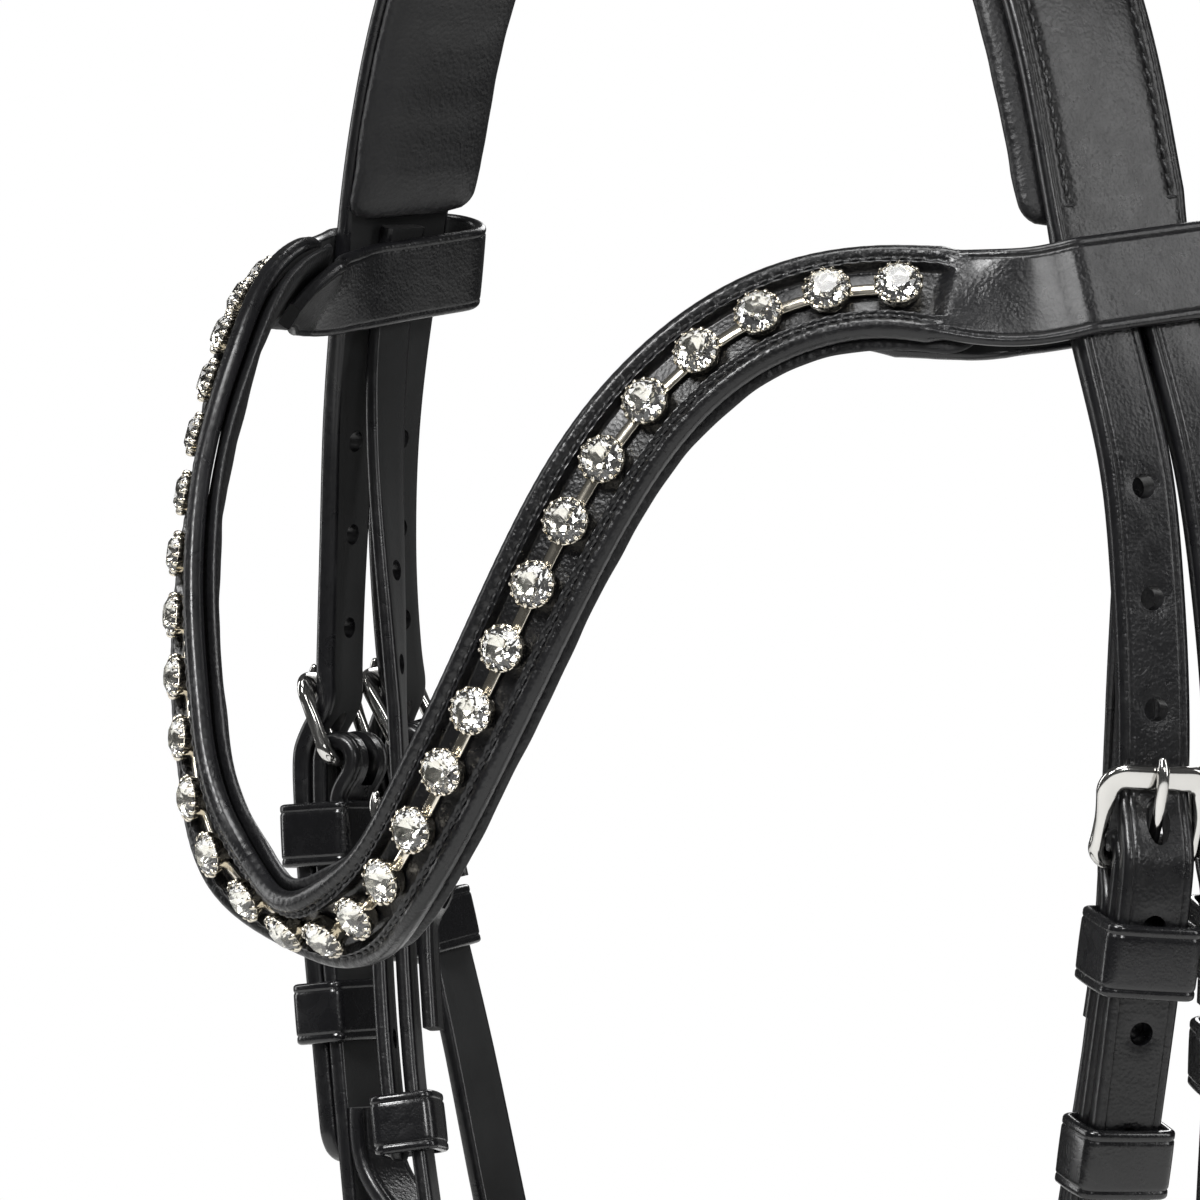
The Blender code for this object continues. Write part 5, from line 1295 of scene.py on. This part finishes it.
def do_sides():
    three = (MAT_FACE, MAT_BACK, MAT_EDGE)
    for mirror in (False, True):
        side = "right" if mirror else "left"
        for which, base, label, w in (("front", FRONT, "noseband", FRONT_W), ("rear", REAR, "cheek", REAR_W)):
            s_b = S_BAR[which]
            buckle_visual("buckle_%s_%s" % (label, side), base, s_b, w, mirror, "lower", "%s_buckle_%s" % (label, side))
            tongue_visual("tongue_%s_%s" % (label, side), base, s_b, w, mirror, "%s_tongue_%s" % (label, side), "%s_buckle_tongue_%s" % (label, side))
            keeper_visual("fixed_keeper_%s_%s" % (label, side), base, s_b + 29.5, 12.5, 0, w, -2 * CHAPE_T - 0.4, 4.8, mirror=mirror, body="lower",
                          node_name="%s_keeper_%s" % (label, side))
            down = 64.5 if which == "front" else 50.0
            keeper_visual("loose_keeper_%s_%s" % (label, side), base, s_b + down, 12.0, 0, w, -CHAPE_T, 4.8, mirror=mirror,
                          body="%s_runner_%s" % (label, side), node_name="%s_runner_%s" % (label, side))
        # Noseband hanger
        s_b = S_BAR["front"]
        s_n = FRONT.s_at_z(NOSE_Z)
        line = chape_start(s_b) + [(s, 0.0) for s in np.arange(s_b + BUCKLE_L + 6, s_n + 4, 7.0)] + loop_end(s_n, 11.0, 11.4)
        tr = laid(FRONT, line)
        ob = strap_visual("hanger_strap_" + side, tr, 0, FRONT_W, CHAPE_T, three, ds=0.8, creases=(1.75,), mirror=mirror, r=1.1)
        cut_out(ob, flipped(chape_slot(FRONT, s_b, FRONT_W), mirror), MAT_EDGE)
        put(ob, "lower", "leather", "noseband_hanger_" + side)
        # Cheekpiece
        s_b = S_BAR["rear"]
        s_c, n_c = bit_point()
        bottom = half_turn(s_c, n_c, -n_c, False)
        up = spline([(s_c, 2 * n_c), (s_c - 7, 2 * n_c + 1.2), (s_c - 16, -2 * CHAPE_T - 0.6), (s_c - 30, -2 * CHAPE_T - 0.4), (s_c - 46, -2 * CHAPE_T - 0.4)], 2.0)
        line = chape_start(s_b) + [(s, 0.0) for s in np.arange(s_b + BUCKLE_L + 6, s_c - 3, 8.0)] + bottom[:-1] + [tuple(q) for q in up]
        tr = laid(REAR, line)
        ob = strap_visual("cheek_strap_" + side, tr, 0, REAR_W, CHAPE_T, three, ds=0.8, creases=(1.75,), mirror=mirror, r=1.1)
        cut_out(ob, flipped(chape_slot(REAR, s_b, REAR_W), mirror), MAT_EDGE)
        put(ob, "lower", "leather", "cheekpiece_" + side)
        # Sewing across both turned-back ends, on the inner side.
        inner = -2 * CHAPE_T - 0.4
        put(cross_stitches("hanger_cross_stitches_" + side, FRONT, (S_BAR["front"] + 37.5, S_BAR["front"] + 40.0, S_BAR["front"] + 21.2), 0, FRONT_W, inner, -1, mirror),
            "lower", "leather")
        put(cross_stitches("cheek_cross_stitches_" + side, REAR, (S_BAR["rear"] + 37.5, S_BAR["rear"] + 40.0, S_BAR["rear"] + 21.2), 0, REAR_W, inner, -1, mirror),
            "lower", "leather")
        put(cross_stitches("hanger_face_stitches_" + side, FRONT, (s_n - 14.5, s_n - 17.0), 0, FRONT_W, 0.05, 1, mirror), "lower", "leather")
        # Hook stud
        p, t, u, nn = REAR.frame(s_c - 36)
        c = p + REAR_W / 2 * u
        v, f = lathe([(2.0, 0.1), (3.0, 0.12), (3.25, 0.35), (3.2, 0.75), (2.8, 1.25), (2.1, 1.75), (1.2, 2.08), (0.4, 2.2)], 36)
        v, f = flipped((placed(v, c, t, u, nn), f), mirror)
        put(add_object("stud_" + side, v, f, [MAT_STEEL], angle=60), "lower", "steel", "hook_stud_" + side)
        keeper_visual("lower_keeper_" + side, REAR, s_c - 22, 9.0, 0, REAR_W, -2 * CHAPE_T - 0.6, 0.0, t=1.5, mirror=mirror, crease=1.4, body="lower",
                      node_name="bit_keeper_" + side)
        # Bit
        top, t, u, nn = bit_frame()
        centre = top + RING_R * t
        ring = circle(centre, t, u, RING_R, 120)
        put(tube_object("ring_" + side, ring, RING_WIRE, 26, MAT_STEEL, mirror, closed=True), "bit_ring_" + side, "steel", "bit_ring_" + side)
        end = top + 2 * RING_R * t
        x0 = end[0]
        line = [(x0 + 6.0, 4.6), (x0 + 5.6, 5.9), (x0 + 4.6, 6.9), (x0 + 1.0, 7.4), (x0 - 5, 7.4), (x0 - 16, 7.1), (x0 - 34, 5.4), (16.5, 3.9), (12.5, 3.7), (8.2, 3.3)]
        sm = spline([(x, r, 0.0) for x, r in line], 0.7)
        pts = [np.array([x, end[1], end[2]]) for x, _, _ in sm]
        ob = tube_object("mouthpiece_" + side, pts, sm[:, 1], 40, MAT_STEEL, mirror)
        cut_out(ob, flipped(loft([np.asarray(x) for x in tube_rings(circle(centre, t, u, RING_R, 72), np.full(72, RING_WIRE + 0.6), 20, closed=True)], True), mirror), MAT_STEEL)
        put(ob, "bit_mouthpiece_" + side, "steel", "bit_mouthpiece_" + side)
        eye_c = np.array([3.1, end[1], end[2]])
        v2 = np.array([0, 0, 1.0]) if side == "left" else np.array([0, 1.0, 0])
        eye = tube_object("mouthpiece_eye_" + side, circle(eye_c, np.array([1.0, 0, 0]), v2, 5.8, 60), 2.1, 20, MAT_STEEL, mirror, closed=True)
        put(eye, "bit_mouthpiece_" + side, "steel", "bit_mouthpiece_" + side)


# ------------------------------------------------------------------ noseband
def do_noseband():
    ring = Track(np.concatenate([NOSE.P[:-1], NOSE.P]), np.concatenate([NOSE.U[:-1], NOSE.U]))
    full = NOSE.s[-1]
    s0, s1 = nose_s(math.pi - 0.40), full + nose_s(0.40)
    mid, half = (s0 + s1) / 2, (s1 - s0) / 2
    st = np.linspace(s0, s1, int((s1 - s0) / 0.75))
    k = np.abs(st - mid) / half
    nose = np.maximum(0.0, 1 - (k / 0.70) ** 2)
    h = 10.4 + 4.0 * nose
    end = np.clip((1 - k) / 0.06, 0, 1)
    hh = h * (0.62 + 0.38 * np.sqrt(np.clip(1 - (1 - end) ** 2, 0, 1)))
    prof, kinds, face = round_section(-10, 10, 3.4, None, 1.1, across=60)
    rows = np.repeat(prof[None], len(st), 0)
    fw = prof[face, 0] / 10
    # Distances from the edge in millimetres at each station, so that the sewing keeps its margin.
    edge = hh[:, None] * (1 - np.abs(fw)[None])
    pitch = 2.7
    phase = 2 * math.pi * (st - s0) / pitch
    rows[:, face, 1] += 0.5 * nose[:, None] * np.clip((edge - 4.2) / 3.5, 0, 1) ** 1.0 * 0.9
    rows[:, face, 1] -= (0.24 + 0.15 * np.cos(phase))[:, None] * np.exp(-((edge - 3.2) / 0.55) ** 2)
    rows[:, face, 1] += 0.10 * (1 - fw ** 2)[None]
    rows[..., 0] *= (hh / 10)[:, None]
    ob = band_mesh("noseband_leather", ring, st, rows, [MAT_CROWN, MAT_BACK, MAT_EDGE], kinds)
    put(ob, "noseband", "leather", "noseband_front")
    lines = []
    n_st = int((s1 - s0 - 16) / pitch)
    for i in range(n_st):
        s = s0 + 8 + (i + 0.5) * pitch
        hw = float(np.interp(s, st, hh)) - 3.2
        for sg in (-1, 1):
            lines.append([ring.pos(float(s + q * pitch * 0.37), sg * hw, 0.02 + 0.16 * (1 - abs(q) ** 3) - 0.42 * abs(q) ** 3)
                          for q in (-1.0, -0.7, -0.25, 0.25, 0.7, 1.0)])
    put(threads("noseband_stitches", lines, 0.3), "noseband", "leather")
    dep = (3.0 + 2.0 * nose) * (0.5 + 0.5 * end)
    cushion("noseband_cushion", ring, st, s0, s1, -hh - 0.55, hh + 0.55, np.full(len(st), -3.55), dep, "noseband", "noseband_padding",
            pitch=pitch, power=3.0, taper=8.0, closed_tip=0.62, seed=21)
    w = 12.4
    w0, w1 = -w / 2, w / 2
    s_b = nose_s(math.pi * 0.585)
    lap = s0 + 24
    line = chape_start(s_b, inner_end=38.0) + [(s_b + 34, 0.0), (s0 - 16, 0.0), (s0 - 10, 1.3), (s0 - 4, 3.9), (s0 + 4, 4.1), (lap, 4.1)]
    tr = laid(ring, line)
    three = (MAT_FACE, MAT_BACK, MAT_EDGE)
    ob = strap_visual("rear_chin_strap", tr, w0, w1, CHAPE_T, three, ds=0.85, creases=(1.75,), r=1.1)
    edge_t = Track(ring.P + w0 * ring.U, ring.U)
    edge_t.s = ring.s
    cut_out(ob, chape_slot(edge_t, s_b, w), MAT_EDGE)
    put(ob, "noseband", "leather", "noseband_rear_strap")
    put(cross_stitches("rear_lap_stitches_left", ring, (lap - 3.0, lap - 5.5, lap - 16.0), w0, w1, 4.1, 1, False), "noseband", "leather")
    r0 = nose_s(0.40)
    tip_s = s_b + 58
    pts = [(r0 - 24, 4.0), (r0 - 4, 4.0), (r0 + 4, 3.7), (r0 + 10, 1.2), (r0 + 16, 0.0), (r0 + 40, 0.0)] + billet_line(s_b, tip_s)[1:-3] + [(s_b + 34, 4.7), (tip_s, 4.7)]
    tr = laid(ring, [tuple(q) for q in spline(pts, 1.5)])
    t = BILLET_T - 0.9
    at = tr.s[-1] - (tip_s - s_b)
    holes = [(at + 7.2 + HOLE_PITCH * q, 1.0) for q in (-3, -2, -1, 1, 2)] + [(at + 6.0, 2.0)]
    ob = strap_visual("rear_chin_billet", tr, w0, w1, t, three, ds=0.85, creases=(1.75,), holes=holes, tips=(0, 7.0), r=1.1)
    put(ob, "noseband", "leather", "noseband_rear_billet")
    put(cross_stitches("rear_lap_stitches_right", ring, (r0 - 21.0, r0 - 18.5, r0 - 8.0), w0, w1, 4.0, 1, False), "noseband", "leather")
    buckle_visual("buckle_chin", edge_t, s_b, w, False, "noseband", "noseband_rear_buckle")
    tongue_visual("tongue_chin", edge_t, s_b, w, False, "noseband_rear_tongue", "noseband_rear_buckle_tongue")
    keeper_visual("keeper_chin", edge_t, s_b + 29.5, 11.0, 0, w, -2 * CHAPE_T - 0.4, 4.8, body="noseband", node_name="noseband_rear_keeper")


# ------------------------------------------------------------------ throatlash
def do_throatlash():
    w, t = 10.0, 2.8
    tr0 = THROATLASH
    n_half = len(tr0.P) // 2
    s_b = float(np.interp(213.0, -tr0.P[:n_half, 2], tr0.s[:n_half]))
    base = Track(tr0.P - w / 2 * tr0.U, tr0.U)
    tip_s = s_b + 68
    pts = [(0, 0), (s_b - 60, 0)] + billet_line(s_b, tip_s)[1:-3] + [(s_b + 34, 4.7), (s_b + 50, 4.7), (tip_s, 4.7)]
    tr = laid(base, [tuple(q) for q in spline(pts, 1.5)])
    three = (MAT_FACE, MAT_BACK, MAT_EDGE)
    at = tr.s[-1] - (tip_s - s_b)
    holes = [(at + 7.2 + HOLE_PITCH * q, 1.0) for q in (-3, -2, -1, 1, 2)] + [(at + 6.0, 2.0)]
    ob = strap_visual("throat_billet", tr, 0, w, t, three, ds=0.85, creases=(1.6,), holes=holes, tips=(0, 6.0), mirror=True, r=1.0)
    put(ob, "throatlash", "leather", "throatlash_billet")
    line = chape_start(s_b, inner_end=43.0) + [(s, 0.0) for s in np.arange(s_b + BUCKLE_L + 8, tr0.s[-1] - 4, 9.0)] + [(tr0.s[-1], 0.0)]
    tr = laid(base, line)
    ob = strap_visual("throat_strap", tr, 0, w, CHAPE_T - 0.6, three, ds=0.85, creases=(1.6,), mirror=True, r=1.0)
    cut_out(ob, flipped(chape_slot(base, s_b, w), True), MAT_EDGE)
    put(ob, "throatlash", "leather", "throatlash_strap")
    buckle_visual("buckle_throat", base, s_b, w, True, "throatlash", "throatlash_buckle")
    tongue_visual("tongue_throat", base, s_b, w, True, "throatlash_tongue", "throatlash_buckle_tongue")
    keeper_visual("keeper_throat", base, s_b + 61, 11.5, 0, w, -CHAPE_T, 4.8, mirror=True, body="throatlash", node_name="throatlash_keeper")


do_crown()
do_billets()
do_browband()
do_stones()
do_sides()
do_noseband()
do_throatlash()


# ------------------------------------------------------------------ floor, light, camera
def setup_stage():
    m, nt, b = new_material("floor_pale")
    tc = nt.nodes.new("ShaderNodeTexCoord")
    n1 = node(nt, "ShaderNodeTexNoise", Scale=9.0, Detail=3.0)
    nt.links.new(tc.outputs["Object"], n1.inputs["Vector"])
    ramp = nt.nodes.new("ShaderNodeValToRGB")
    ramp.color_ramp.elements[0].color = (0.78, 0.78, 0.77, 1)
    ramp.color_ramp.elements[1].color = (0.82, 0.82, 0.81, 1)
    nt.links.new(n1.outputs["Fac"], ramp.inputs["Fac"])
    nt.links.new(ramp.outputs["Color"], b.inputs["Base Color"])
    b.inputs["Roughness"].default_value = 0.7
    bm = bmesh.new()
    bmesh.ops.create_circle(bm, cap_ends=True, segments=96, radius=1.1)
    mesh = bpy.data.meshes.new("floor")
    bm.to_mesh(mesh)
    bm.free()
    mesh.materials.append(m)
    floor = bpy.data.objects.new("floor", mesh)
    floor.location = (0, 0, -0.52)
    bpy.context.scene.collection.objects.link(floor)
    floor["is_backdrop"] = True

    world = bpy.data.worlds.new("studio")
    world.use_nodes = True
    wt = world.node_tree
    for n in list(wt.nodes):
        wt.nodes.remove(n)
    out = wt.nodes.new("ShaderNodeOutputWorld")
    lp = wt.nodes.new("ShaderNodeLightPath")
    seen = wt.nodes.new("ShaderNodeBackground")
    seen.inputs["Color"].default_value = (1, 1, 1, 1)
    seen.inputs["Strength"].default_value = 1.0
    fill = wt.nodes.new("ShaderNodeBackground")
    fill.inputs["Color"].default_value = (1, 1, 1, 1)
    fill.inputs["Strength"].default_value = 0.07
    mix = wt.nodes.new("ShaderNodeMixShader")
    wt.links.new(lp.outputs["Is Camera Ray"], mix.inputs[0])
    wt.links.new(fill.outputs[0], mix.inputs[1])
    wt.links.new(seen.outputs[0], mix.inputs[2])
    wt.links.new(mix.outputs[0], out.inputs["Surface"])
    bpy.context.scene.world = world
    centre = Vector((0.0, 0.0, -0.22))
    cam_az = math.atan2(-0.7100, 0.9162)

    def soft(name, turn, el, dist, size, power, size_y=None):
        az = cam_az + math.radians(turn)
        e = math.radians(el)
        pos = centre + dist * Vector((math.cos(az) * math.cos(e), math.sin(az) * math.cos(e), math.sin(e)))
        data = bpy.data.lights.new(name, "AREA")
        data.shape = "RECTANGLE"
        data.size, data.size_y = size, size_y or size
        data.energy = power
        ob = bpy.data.objects.new(name, data)
        ob.location = pos
        ob.rotation_euler = (centre - pos).to_track_quat("-Z", "Y").to_euler()
        bpy.context.scene.collection.objects.link(ob)

    soft("key", -38, 38, 1.5, 0.36, 20)
    soft("side", 66, 22, 1.5, 0.30, 8, 1.3)
    soft("top", -6, 78, 1.3, 0.55, 12)
    soft("back", 160, 30, 1.5, 0.6, 8)
    soft("rim", -112, 16, 1.5, 0.30, 6, 1.3)
    soft("front", 16, 22, 1.9, 0.34, 9)

    cam_data = bpy.data.cameras.new("camera")
    cam_data.lens, cam_data.sensor_width, cam_data.sensor_fit = 190.83, 36.0, "HORIZONTAL"
    cam_data.clip_start, cam_data.clip_end = 0.05, 20
    cam = bpy.data.objects.new("camera", cam_data)
    a, e = math.radians(53.461), math.radians(3.824)
    u = Vector((math.cos(a), math.sin(a), 0))
    v = Vector((-math.sin(a) * math.sin(e), math.cos(a) * math.sin(e), math.cos(e)))
    back = Vector((math.sin(a) * math.cos(e), -math.cos(a) * math.cos(e), math.sin(e)))
    M = Matrix(((u.x, v.x, back.x), (u.y, v.y, back.y), (u.z, v.z, back.z))).to_4x4()
    M.translation = Vector((0.9162, -0.7100, -0.0903))
    cam.matrix_world = M
    bpy.context.scene.collection.objects.link(cam)
    bpy.context.scene.camera = cam
    bpy.context.scene.view_settings.view_transform = "Standard"
    bpy.context.scene.view_settings.look = "None"


setup_stage()


def plain(value):
    if isinstance(value, dict):
        return {k: plain(v) for k, v in value.items()}
    try:
        return [plain(v) for v in value]
    except TypeError:
        return float(value)


FINAL_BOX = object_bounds()
{"cad": plain(CAD_BOX), "final": plain(FINAL_BOX)}
